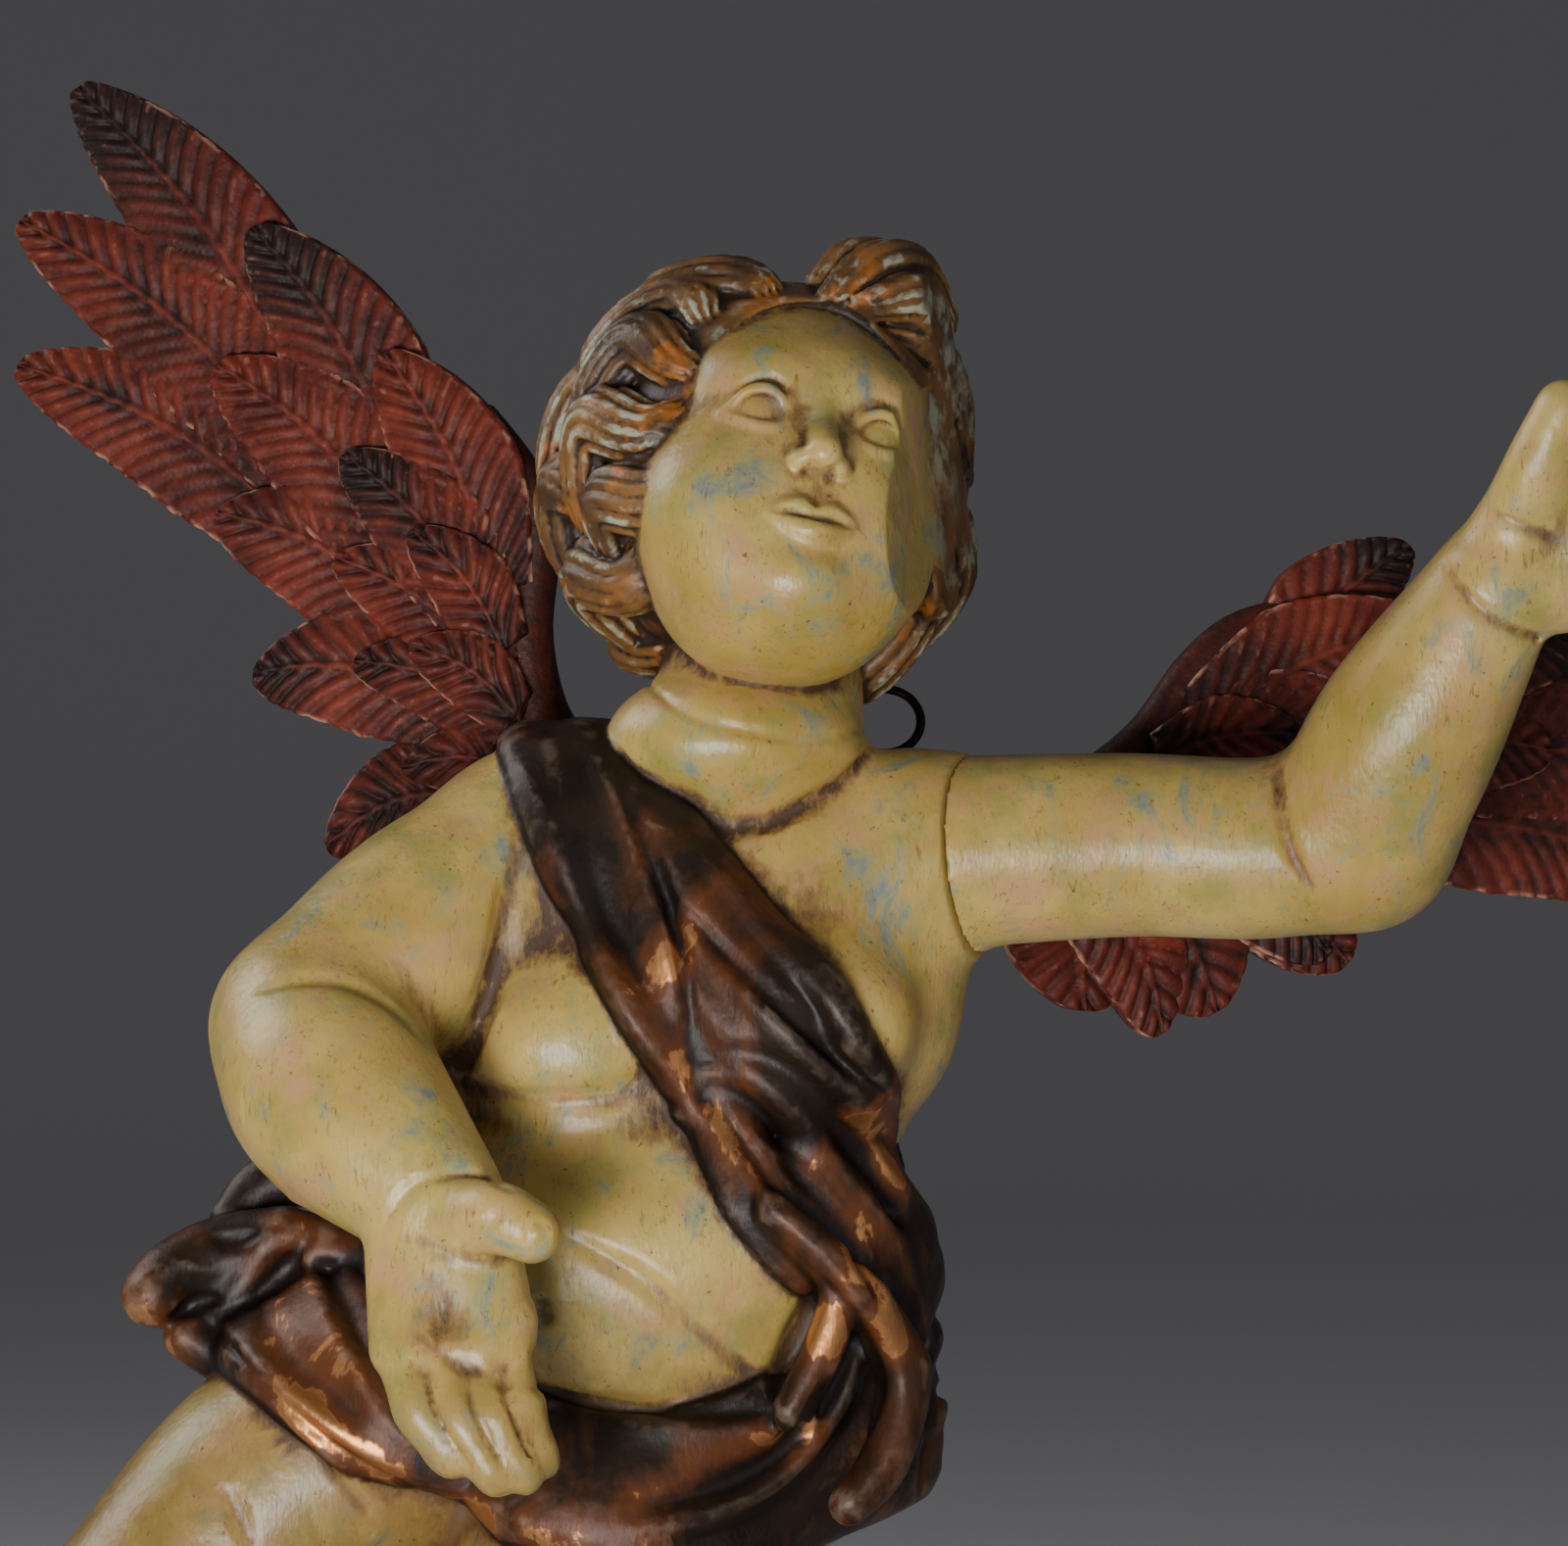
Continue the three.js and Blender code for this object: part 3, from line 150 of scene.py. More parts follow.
class Wood:
    """Distances in mm, negative inside, on a grid with one array of places along each axis."""

    def __init__(self, axes):
        self.axes = [np.asarray(axis, REAL) for axis in axes]
        self.d = np.full([len(axis) for axis in axes], FAR, REAL)

    def window(self, low, high):
        """Slices that hold the box from low to high."""
        spans = []
        for axis, a, b in zip(self.axes, low, high):
            first = max(0, int(np.searchsorted(axis, a)) - 1)
            spans.append(slice(first, max(first, min(len(axis), int(np.searchsorted(axis, b)) + 1))))
        return tuple(spans)

    def places(self, where=(slice(None),) * 3):
        x, y, z = (axis[span] for axis, span in zip(self.axes, where))
        return x[:, None, None], y[None, :, None], z[None, None, :]

    def join(self, form, width, reach=14):
        low, high, distance = form
        where = self.window(low - reach, high + reach)
        self.d[where] = soft(self.d[where], distance(*self.places(where)).astype(REAL), width)

    def cut(self, form, width, reach=8):
        low, high, distance = form
        where = self.window(low - reach, high + reach)
        self.d[where] = -soft(-self.d[where], distance(*self.places(where)).astype(REAL), width)

    def rope(self, path, radii, width, reach=14, strands=0, relief=0.0, out=None, twist=0.0):
        """Join a tapered rope. Strands run along it: relief * (2 |sin(strands / 2 * angle round it)| - 1)."""
        near, whole = self.rope_distance(path, radii, reach, strands, relief, out, twist)
        self.d[whole] = soft(self.d[whole], near, width)

    def rope_distance(self, path, radii, reach, strands=0, relief=0.0, out=None, twist=0.0):
        path = np.asarray(path, REAL)
        radii = np.broadcast_to(np.asarray(radii, REAL), len(path))
        pad = reach + float(radii.max())
        whole = self.window(path.min(0) - pad, path.max(0) + pad)
        near = np.full([s.stop - s.start for s in whole], FAR, REAL)
        for i in range(len(path) - 1):
            a, b, ra, rb = path[i], path[i + 1], radii[i], radii[i + 1]
            span = reach + max(ra, rb)
            part = self.window(np.minimum(a, b) - span, np.maximum(a, b) + span)
            x, y, z = self.places(part)
            d = b - a
            t = (x - a[0]) * d[0] + (y - a[1]) * d[1] + (z - a[2]) * d[2]
            t = np.clip(t / (d @ d + REAL(1e-6)), 0, 1)
            ex, ey, ez = x - a[0] - t * d[0], y - a[1] - t * d[1], z - a[2] - t * d[2]
            gone = np.sqrt(ex * ex + ey * ey + ez * ez) - (ra + t * (rb - ra))
            if strands:
                axis = d / (np.linalg.norm(d) + 1e-6)
                up = out[i] - axis * (out[i] @ axis)
                up = (up / (np.linalg.norm(up) + 1e-6)).astype(REAL)
                side = np.cross(axis, up).astype(REAL)
                sideways, upwards = (ex * v[0] + ey * v[1] + ez * v[2] for v in (side, up))
                angle = np.arctan2(sideways, upwards)
                along = (i + t) / REAL(len(path) - 1)
                wave = np.abs(np.sin(REAL(strands / 2) * angle + REAL(twist) * along))
                gone = gone - REAL(relief) * (2 * wave - 1)
            inner = tuple(slice(s.start - w.start, s.stop - w.start) for s, w in zip(part, whole))
            near[inner] = np.minimum(near[inner], gone)
        return near, whole

    def rub(self, rounds=1):
        """Rub the form down: along each axis, half of itself and a quarter of both neighbours."""
        for _ in range(rounds):
            for axis in range(3):
                d = np.moveaxis(self.d, axis, 0)
                d[1:-1] = (d[:-2] + 2 * d[1:-1] + d[2:]) / 4

    def line(self, path, depth, width, sharp=False):
        """Cut a line: the distance grows by depth * exp(-(away / width) ** 2).

        A sharp one falls off as exp(-away / width) instead. An open line of more than three points
        fades at its ends, where it is counted as farther away.
        """
        path = np.asarray(path, float)
        n = len(path)
        open_ended = n > 3 and np.linalg.norm(path[0] - path[-1]) > width
        fade = 1 - np.sqrt(np.sin(np.pi * (np.arange(n) + 0.2) / (n - 0.6))) if open_ended else np.zeros(n)
        away, whole = self.rope_distance(path, -1.4 * width * fade, 3 * width)
        away = np.maximum(away, 0) / REAL(width)
        self.d[whole] += REAL(depth) * np.exp(-away if sharp else -np.square(away))

    def at(self, points):
        """Distance at loose points, from the eight grid points round each."""
        low, share = [], []
        for axis, value in zip(self.axes, np.moveaxis(np.asarray(points, REAL), -1, 0)):
            place = np.interp(value, axis, np.arange(len(axis)))
            first = np.clip(place.astype(int), 0, len(axis) - 2)
            low.append(first)
            share.append((place - first).astype(REAL))
        total = 0
        for i, j, k in np.ndindex(2, 2, 2):
            weight = [s if step else 1 - s for s, step in zip(share, (i, j, k))]
            total = total + self.d[low[0] + i, low[1] + j, low[2] + k] * weight[0] * weight[1] * weight[2]
        return total

    def outward(self, points, step=1.2):
        """Unit vector out of the skin: the distance's slope from two samples along each axis."""
        slope = [self.at(points + step * e) - self.at(points - step * e) for e in np.eye(3)]
        slope = np.stack(slope, -1)
        return slope / (np.linalg.norm(slope, axis=-1, keepdims=True) + 1e-9)

    def lay(self, points, lift):
        """Move rough points onto the skin, then out by lift."""
        points = np.array(points, float)
        lift = np.asarray(lift, float)
        for _ in range(8):
            gap = np.clip(self.at(points) - lift, -20, 20)
            points = points - 0.9 * gap[..., None] * self.outward(points)
        return points


def egg(centre, radii, turn=None):
    """Ellipsoid: k * (k - 1) / g, where k is the scaled distance and g the length of its slope."""
    centre, radii = np.array(centre, REAL), np.array(radii, REAL)
    reach = radii if turn is None else np.full(3, radii.max())

    def distance(x, y, z):
        x, y, z = x - centre[0], y - centre[1], z - centre[2]
        if turn is not None:
            m = np.asarray(turn, REAL)
            x, y, z = (m[0, i] * x + m[1, i] * y + m[2, i] * z for i in range(3))
        u, v, w = x / radii[0], y / radii[1], z / radii[2]
        k = np.sqrt(u * u + v * v + w * w)
        g = np.sqrt(np.square(u / radii[0]) + np.square(v / radii[1]) + np.square(w / radii[2])) + REAL(1e-5)
        return k * (k - 1) / g

    return centre - reach, centre + reach, distance


def curve(points, count, closed=False):
    """Smooth path through points: Catmull-Rom, p(t) from the four points round each stretch."""
    points = np.asarray(points, float)
    n = len(points)
    stretches = n if closed else n - 1
    place = np.linspace(0, stretches, count, endpoint=not closed)
    first = np.minimum(place.astype(int), stretches - 1)
    t = (place - first)[:, None]
    take = (lambda i: points[i % n]) if closed else (lambda i: points[np.clip(i, 0, n - 1)])
    a, b, c, d = take(first - 1), take(first), take(first + 1), take(first + 2)
    return 0.5 * (2 * b + (c - a) * t + (2 * a - 5 * b + 4 * c - d) * t**2 + (3 * b - a - 3 * c + d) * t**3)


def limb(wood, points, radii, width, count=31, **more):
    """A tapered rope through a few joints, with its bends and its girth both smoothed."""
    wood.rope(curve(points, count), curve(np.array(radii, float)[:, None], count)[:, 0], width, **more)


print("a form costs one small box of the grid")

# %% [markdown]
# ## From distances to a skin
# A cell of the grid whose corners are partly inside gets one point, the mean of where its edges are crossed,
# and four neighbouring points make a face. The points are then pushed onto the true skin, so that the
# steps of the grid don't show.
# %% Skin
CORNERS = np.array(list(np.ndindex(2, 2, 2)))
EDGES = [(a, b) for a in range(8) for b in range(a + 1, 8) if np.abs(CORNERS[a] - CORNERS[b]).sum() == 1]
PLANES = [((0, 1, 0), (0, 0, 1)), ((1, 0, 0), (0, 0, 1)), ((1, 0, 0), (0, 1, 0))]


def fill_checkers(d):
    """Where the inside meets itself only across a cell's corner, fill one more grid point."""
    for _ in range(4):
        changed = 0
        for p, q in PLANES:
            size = [n - a - b for n, a, b in zip(d.shape, p, q)]
            shifts = ((0, 0, 0), p, np.add(p, q), q)
            part = [tuple(slice(s, s + n) for s, n in zip(shift, size)) for shift in shifts]
            a, b, c, e = (d[w] < 0 for w in part)
            first, second = a & c & ~b & ~e, b & e & ~a & ~c
            d[part[1]][first] = -0.05
            d[part[0]][second] = -0.05
            changed += int(first.sum() + second.sum())
        if not changed:
            return


def skin_of(wood):
    """Points and four-sided faces of the skin."""
    d = wood.d
    fill_checkers(d)
    inside = d < 0
    size = [n - 1 for n in d.shape]
    count = np.zeros(size, np.uint8)
    for i, j, k in CORNERS:
        count += inside[i : i + size[0], j : j + size[1], k : k + size[2]]
    cells = np.argwhere((count > 0) & (count < 8))
    value = np.stack([d[tuple((cells + c).T)] for c in CORNERS], 1)
    total, crossings = np.zeros((len(cells), 3)), np.zeros(len(cells))
    for a, b in EDGES:
        crossed = (value[:, a] < 0) != (value[:, b] < 0)
        share = np.where(crossed, value[:, a] / np.where(crossed, value[:, a] - value[:, b], 1), 0)
        total += crossed[:, None] * (CORNERS[a] + share[:, None] * (CORNERS[b] - CORNERS[a]))
        crossings += crossed
    place = cells + total / crossings[:, None]
    points = np.stack([np.interp(place[:, i], np.arange(len(a)), a) for i, a in enumerate(wood.axes)], 1)
    number = np.full(size, -1, np.int32)
    number[tuple(cells.T)] = np.arange(len(cells))
    faces = []
    for axis in range(3):
        here = [slice(1, -1)] * 3
        after = list(here)
        here[axis], after[axis] = slice(0, -1), slice(1, None)
        lead = inside[tuple(here)]
        at = np.argwhere(lead != inside[tuple(after)])
        outwards = lead[tuple(at.T)]
        at += np.array([0 if i == axis else 1 for i in range(3)])
        p, q = np.eye(3, dtype=int)[(axis + 1) % 3], np.eye(3, dtype=int)[(axis + 2) % 3]
        ring = np.stack([number[tuple((at - s).T)] for s in (p + q, q, 0 * p, p)], 1)
        faces.append(np.where(outwards[:, None], ring, ring[:, ::-1]))
    for _ in range(2):
        points -= np.clip(wood.at(points), -0.8, 0.8)[:, None] * wood.outward(points)
    return points, np.concatenate(faces)


# %% Meshes
FIGURE_ORIGIN = np.array([46.0, 14.0, base_high[2] * 1000 + 0.35])


def mesh_of(name, points, faces, smooth=True):
    """A mesh in metres from points in the figure's millimetres and one array of faces."""
    mesh = bpy.data.meshes.new(name)
    mesh.vertices.add(len(points))
    mesh.vertices.foreach_set("co", ((points + FIGURE_ORIGIN) * 0.001).astype(REAL).ravel())
    sides = faces.shape[1]
    mesh.loops.add(faces.size)
    mesh.loops.foreach_set("vertex_index", faces.astype(np.int32).ravel())
    mesh.polygons.add(len(faces))
    mesh.polygons.foreach_set("loop_start", np.arange(0, faces.size, sides, dtype=np.int32))
    mesh.polygons.foreach_set("use_smooth", np.full(len(faces), smooth))
    mesh.update(calc_edges=True)
    mesh.validate()
    return mesh


def piece_of(name, mesh, nodes, material):
    """Put a finished mesh in the scene, in place of the model's nodes."""
    piece = bpy.data.objects.new(name, mesh)
    bpy.context.scene.collection.objects.link(piece)
    mesh.materials.append(material)
    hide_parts(*nodes)
    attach(piece, "root")
    print(name, len(mesh.vertices), "points", sum(len(p.vertices) - 2 for p in mesh.polygons), "triangles")
    return piece


def thinned(mesh, triangles):
    """The same surface with fewer faces, kept where it bends."""
    now = sum(len(p.vertices) - 2 for p in mesh.polygons)
    if now <= triangles:
        return mesh
    helper = bpy.data.objects.new("thinning", mesh)
    bpy.context.scene.collection.objects.link(helper)
    helper.modifiers.new("thin", "DECIMATE").ratio = triangles / now
    result = bpy.data.meshes.new_from_object(helper.evaluated_get(bpy.context.evaluated_depsgraph_get()))
    result.name = mesh.name
    bpy.data.objects.remove(helper)
    result.polygons.foreach_set("use_smooth", np.ones(len(result.polygons), bool))
    return result


def points_of(mesh):
    """A mesh's points, back in the figure's millimetres."""
    co = np.empty(len(mesh.vertices) * 3, REAL)
    mesh.vertices.foreach_get("co", co)
    return co.reshape(-1, 3) * 1000 - FIGURE_ORIGIN


def mark(mesh, name, values):
    """Store one number a point, for the paint to read."""
    mesh.attributes.new(name, "FLOAT", "POINT").data.foreach_set("value", np.asarray(values, REAL))


print("figure's origin", FIGURE_ORIGIN)

# %% [markdown]
# ## The body
# The carver's child is built of round masses: pelvis, belly and chest that lean towards the raised arm, limbs
# with the soft rolls of a small child, and hands that are a fan of bones blended into a palm.
# %% Grid for the figure
FINE, MIDDLE, COARSE = 1.15, 1.35, 1.8


def stretch(*marks):
    """Places along an axis from (place, step) marks: each step runs on to the next mark."""
    runs = [np.arange(a, b - 0.4 * s, s) for (a, s), (b, _) in zip(marks[:-1], marks[1:])]
    return np.concatenate([*runs, [marks[-1][0]]])


figure_axes = (
    stretch((-226, COARSE), (-104, MIDDLE), (-44, FINE), (112, COARSE), (128, COARSE)),
    stretch((-160, MIDDLE), (112, MIDDLE)),
    stretch((-8, COARSE), (214, MIDDLE), (470, FINE), (648, COARSE)),
)
body = Wood(figure_axes)
glaze_and_shade_lines = []
print("grid", body.d.shape)

# %% Torso and legs
SHOULDER_RIGHT, SHOULDER_LEFT = (-46, 2, 424), (80, 2, 428)
for form in (
    egg((-12, 8, 236), (92, 62, 58)),
    egg((-13, -8, 292), (91, 65, 64)),
    egg((10, 2, 378), (87, 55, 64)),
):
    body.join(form, 26, reach=60)
body.rope([SHOULDER_RIGHT, SHOULDER_LEFT], [35, 34], 26, reach=40)
body.rope([SHOULDER_RIGHT, (-66, -4, 366)], [32, 25], 26, reach=30)
body.join(egg((-34, -44, 366), (28, 18, 22)), 20)
body.join(egg((50, -42, 372), (28, 18, 22)), 20)

legs = Wood(figure_axes)
limb(legs, [(-4, -8, 228), (-25, -29, 186), (-46, -50, 144)], [50, 49, 36], 9, reach=30)
limb(legs, [(-46, -50, 144), (-32, -10, 96), (-18, 4, 42)], [35, 31, 20], 9)
limb(legs, [(-76, 0, 242), (-134, -10, 212), (-180, -24, 166)], [52, 45, 37], 9, reach=30)
limb(legs, [(-180, -24, 166), (-178, 20, 118), (-166, 52, 68)], [35, 31, 20], 9)
legs.rope([(-18, 4, 42), (-17, 14, 22)], [20, 20], 9)
legs.rope([(-18, 4, 42), (-24, -24, 19), (-31, -50, 14)], [19, 19, 14], 9)
legs.rope([(-166, 52, 68), (-166, 62, 52)], [20, 17], 9)
legs.rope([(-166, 52, 68), (-160, 30, 26), (-158, 2, 15)], [18, 17, 13], 9)


def toes(wood, root, across, forward, first=8.5):
    """Five toes in a row across a foot, each a little smaller than the last."""
    for i in range(5):
        start = np.add(root, np.multiply(across, i * 7.6 - 15))
        end = start + np.multiply(forward, 17 - i * 2.4)
        wood.rope([start, end], [first - i * 1.1 + 0.6, first - i * 1.1], 2.5)


toes(legs, (-32, -50, 9), (-1, 0.12, 0), (-0.1, -1, -0.05))
toes(legs, (-158, 4, 9), (1, 0.05, 0), (0.05, -1, -0.05))
under_cloth = Wood(figure_axes)
under_cloth.d = soft(body.d, legs.d, 14)
body.d = soft(body.d, legs.d, 5)
print("torso and legs stand")


# %% Arms and hands
def hand(wood, wrist, heels, knuckles, middles, tips, finger_radii, thumb, thumb_radii, palm=12.0):
    """Four bones fanned from wrist to knuckles and blended into a palm, then jointed fingers and a thumb."""
    palm_only = Wood(wood.axes)
    for heel, knuckle in zip(heels, knuckles):
        palm_only.rope([heel, knuckle], [palm, palm - 2.5], 9)
    palm_only.rope([wrist, wrist], [palm + 7, palm + 7], 9)
    limb(palm_only, thumb, thumb_radii, 7)
    stations, swell = [0, 0.3, 0.5, 0.75, 0.88, 1], [1, 0.9, 1.04, 0.88, 0.98, 0.86]
    knobs = np.interp(np.linspace(0, 1, 13), stations, swell)
    for knuckle, middle, tip, r in zip(knuckles, middles, tips, finger_radii):
        route = curve([knuckle, middle, tip], 13)
        palm_only.rope(route, (r + 0.2) * knobs, 1.0)
    wood.d = soft(wood.d, palm_only.d, 5)


def between_fingers(wood, knuckles, middles, tips, toward, depth, width):
    """Cut the gaps: midway between neighbours, moved a little toward the side that shows."""
    routes = [curve([np.add(k, m) / 2, m, t], 9) for k, m, t in zip(knuckles, middles, tips)]
    for a, b in zip(routes[:-1], routes[1:]):
        for shift in (toward, np.negative(toward)):
            wood.line((a + b) / 2 + shift, depth, width)
        # The gap is also darkened in the paint, as umber glazing with painted shade.
        glaze_and_shade_lines.append((a + b) / 2 + toward)


ELBOW_RIGHT, WRIST_RIGHT = (-118, -45, 371), (-77, -104, 320)
limb(body, [SHOULDER_RIGHT, (-84, -22, 402), ELBOW_RIGHT], [37, 36, 33], 9)
limb(body, [ELBOW_RIGHT, (-108, -76, 350), WRIST_RIGHT], [33, 35, 23], 9)
RIGHT_FINGERS = dict(
    knuckles=[(-86, -126, 272), (-73, -129, 270), (-61, -129, 272), (-51, -126, 276)],
    middles=[(-79, -137, 254), (-65, -141, 251), (-54, -140, 252), (-46, -135, 257)],
    tips=[(-68, -139, 239), (-54, -142, 233), (-45, -140, 233), (-39, -135, 237)],
)
hand(
    body,
    wrist=WRIST_RIGHT,
    heels=[(-86, -110, 308), (-77, -112, 310), (-68, -113, 311), (-61, -112, 312)],
    **RIGHT_FINGERS,
    finger_radii=[8.0, 7.4, 6.8, 6.2],
    thumb=[(-66, -116, 312), (-55, -132, 315), (-43, -137, 310)],
    thumb_radii=[13, 11.5, 10],
)
body.rub(3)
between_fingers(body, **RIGHT_FINGERS, toward=(0, -6, 0), depth=2.0, width=1.2)
body.rope([(24, 6, 440), (30, 4, 490)], [36, 34], 10)
body.join(egg((20, -12, 466), (43, 38, 25)), 10)

ARM_BOX = ((60, 362), (-104, 50), (362, 612))
arm = Wood([stretch((low, MIDDLE), (high, MIDDLE)) for low, high in ARM_BOX])
ELBOW_LEFT, WRIST_LEFT = (229, -14, 435), (270, -50, 516)
for wood in (body, arm):
    limb(wood, [SHOULDER_LEFT, (150, -2, 431), (196, -8, 430), ELBOW_LEFT], [33, 31, 30.5, 31], 9)
limb(arm, [ELBOW_LEFT, (243, -32, 468), WRIST_LEFT], [31, 31.5, 21.5], 9)
arm.join(egg((10, 2, 378), (87, 55, 64)), 20)
LEFT_FINGERS = dict(
    knuckles=[(301, -62, 566), (309, -64, 556), (315, -63, 545), (317, -60, 534)],
    middles=[(314, -70, 582), (325, -73, 570), (332, -72, 556), (333, -68, 542)],
    tips=[(324, -80, 595), (338, -84, 581), (346, -82, 565), (346, -77, 549)],
)
hand(
    arm,
    wrist=WRIST_LEFT,
    heels=[(274, -54, 532), (282, -56, 528), (289, -56, 521), (293, -54, 513)],
    **LEFT_FINGERS,
    finger_radii=[7, 7, 6.6, 6],
    thumb=[(276, -58, 536), (283, -70, 556), (290, -76, 574)],
    thumb_radii=[13, 11.5, 9.5],
)
arm.rub(3)
between_fingers(arm, **LEFT_FINGERS, toward=(3, 4, -3), depth=3.0, width=1.4)
print("arms and hands joined")

# %% [markdown]
# ## Head and hair
# The head is a child's on the usual proportions: eyes at mid height, the nose's foot halfway from the eyes to
# the chin, cheeks that are rounder than the jaw. It is built upright in its own frame and then tipped back.
# The hair is combed back from a parting in locks, each a swelling rope with strands cut along it.
# %% Head frame
HEAD_CENTRE = np.array([34.0, -4.0, 549.0])
ROLL, YAW, PITCH = np.radians([12, 12, -30])


def turned(axis, angle):
    """Rotation by angle round x, y or z."""
    c, s = np.cos(angle), np.sin(angle)
    i, j = [(1, 2), (2, 0), (0, 1)][axis]
    m = np.eye(3)
    m[i, i], m[j, j], m[i, j], m[j, i] = c, c, -s, s
    return m


HEAD = turned(1, ROLL) @ turned(2, YAW) @ turned(0, PITCH)


def to_head(points):
    """From the upright head to its place on the figure."""
    return np.asarray(points, float) @ HEAD.T + HEAD_CENTRE


def head_egg(centre, radii):
    return egg(to_head(centre), radii, HEAD)


head = Wood(figure_axes)
print("head tipped back by", -np.degrees(PITCH), "degrees")

# %% Face
for form in (
    head_egg((0, 6, 12), (54, 60, 60)),
    head_egg((0, -8, -18), (48, 48, 50)),
    head_egg((0, -18, -52), (37, 34, 22)),
    head_egg((0, -42, -57), (12, 12, 12)),
    head_egg((0, -40, 16), (36, 16, 14)),
    head_egg((25, -28, -28), (25, 25, 25)),
    head_egg((-25, -28, -28), (25, 25, 25)),
):
    head.join(form, 16)
for side in (1, -1):
    head.cut(head_egg((side * 21.5, -61, -1.5), (11.5, 8, 8)), 7)
features = Wood(figure_axes)
for side in (1, -1):
    features.join(head_egg((side * 20, -45.5, -3), (9.5, 9.5, 9.5)), 1.0)
    upper = [(10, -52, -5), (14, -55.4, 0.8), (20, -56.8, 3.4), (26.5, -54.4, 1.6), (32, -48, -4.5)]
    lower = [(10, -52, -5), (15, -54.4, -8.6), (20, -55, -10), (26.5, -53, -8.2), (32, -48, -4.5)]
    mirror = np.array([side, 1, 1])
    limb(features, to_head(upper * mirror), [1.2, 1.7, 2.0, 1.8, 1.2], 1.2)
    limb(features, to_head(lower * mirror), [1.0, 1.4, 1.6, 1.4, 1.0], 1.2)
limb(features, to_head([(0, -52, 5), (0, -57, -8), (0, -62, -19.5)]), [4.0, 4.6, 6.0], 3)
for side in (1, -1):
    features.join(head_egg((side * 6.2, -56.4, -21.5), (4.4, 5.4, 4.2)), 3)
head.d = soft(head.d, features.d, 3.4)
lips = Wood(figure_axes)
UPPER_LIP = [(-14.5, -54, -41.4), (-6, -58, -37.8), (0, -59, -38.9), (6, -58, -37.8), (14.5, -54, -41.4)]
LOWER_LIP = [(-11.5, -54, -43.6), (0, -58, -46.4), (11.5, -54, -43.6)]
MOUTH = [(-16, -54, -40.8), (-7, -58, -41.2), (0, -59, -42.2), (7, -58, -41.2), (16, -54, -40.8)]
limb(lips, head.lay(to_head(UPPER_LIP), 0.2), [1.0, 3.2, 2.8, 3.2, 1.0], 2)
limb(lips, head.lay(to_head(LOWER_LIP), 0.0), [1.6, 4.2, 1.6], 2)
head.line(head.lay(to_head([(-9, -54, -52.5), (0, -57, -53.5), (9, -54, -52.5)]), 0), 1.6, 5)
head.d = soft(head.d, lips.d, 3)
head.line(head.lay(to_head(curve(MOUTH, 13)), 0), 2.6, 1.5)
head.line(head.lay(to_head([(0, -60, -29), (0, -59, -35)]), 0), 0.9, 2.4)
for side in (1, -1):
    head.line(to_head([(side * 3.3, -60.8, -25), (side * 4.4, -56.6, -25.4)]), 3.6, 1.7)
    wing_of_nose = to_head([(side * 11.4, -56, -17), (side * 12.0, -55, -23), (side * 8.5, -56, -26)])
    head.line(head.lay(wing_of_nose, 0), 1.0, 2.0)
    brow = head.lay(to_head([(side * 10, -56, 14), (side * 21, -58, 17), (side * 35, -50, 11)]), 0)
    head.line(brow, -0.7, 5)
    lid = curve([(side * 11, -53, 5.2), (side * 20, -55.5, 8.4), (side * 31, -49, 3.6)], 9)
    head.line(head.lay(to_head(lid), 0), 1.3, 1.6)
print("face cut")

# %% Hair
HAIR_CENTRE, HAIR_RADII = np.array([0, 12, 12]), np.array([62, 66, 66])


def on_skull(turn, fall, lift):
    """Turn goes round the line from brow to nape, from the crown; fall goes back along it, in degrees."""
    turn, fall = np.radians(turn), np.radians(fall)
    r = HAIR_RADII + np.asarray(lift)[..., None]
    way = np.stack([np.sin(turn) * np.sin(fall), -np.cos(fall), np.cos(turn) * np.sin(fall)], -1)
    return HAIR_CENTRE + r * way


hair = Wood(figure_axes)
hair.join(head_egg(HAIR_CENTRE, HAIR_RADII + 2), 1)
LOCK_ROWS = (
    (45, 92, 12.0, (-120, -98, -76, -55, -34, 12, 34, 58, 82, 106)),
    (80, 126, 13.0, (-130, -104, -78, -50, -22, 16, 44, 74, 102, 128)),
    (114, 166, 13.0, (-150, -108, -66, -24, 20, 64, 108, 150)),
)


def lock(turn, start, end, radius, sway, phase):
    """A lock swells and tapers, sways as sin(2.2 pi t + phase), and carries two thin crests."""
    side = 1 if turn > -8 else -1
    t = np.linspace(0, 1, 17)
    swell = 0.3 + 0.7 * np.sin(np.pi * (0.14 + 0.8 * t))
    swing = turn + side * (sway * np.sin(2.2 * np.pi * t + phase) + 9 * t)
    path = on_skull(swing, start + (end - start) * t, -1 + 5 * np.sin(np.pi * t))
    out = (path - HAIR_CENTRE) @ HEAD.T
    hair.rope(to_head(path), radius * swell, 1.5, strands=12, relief=1.0, out=out, twist=3.0 * side)
    for shift, thick in ((-4.5, 2.6), (4.0, 2.2)):
        aside = swing + shift * (0.4 + 1.4 * t)
        crest = on_skull(aside, start + (end - start) * t, radius * swell * 0.93 - 1.5)
        hair.rope(to_head(crest), thick * swell, 1.2)


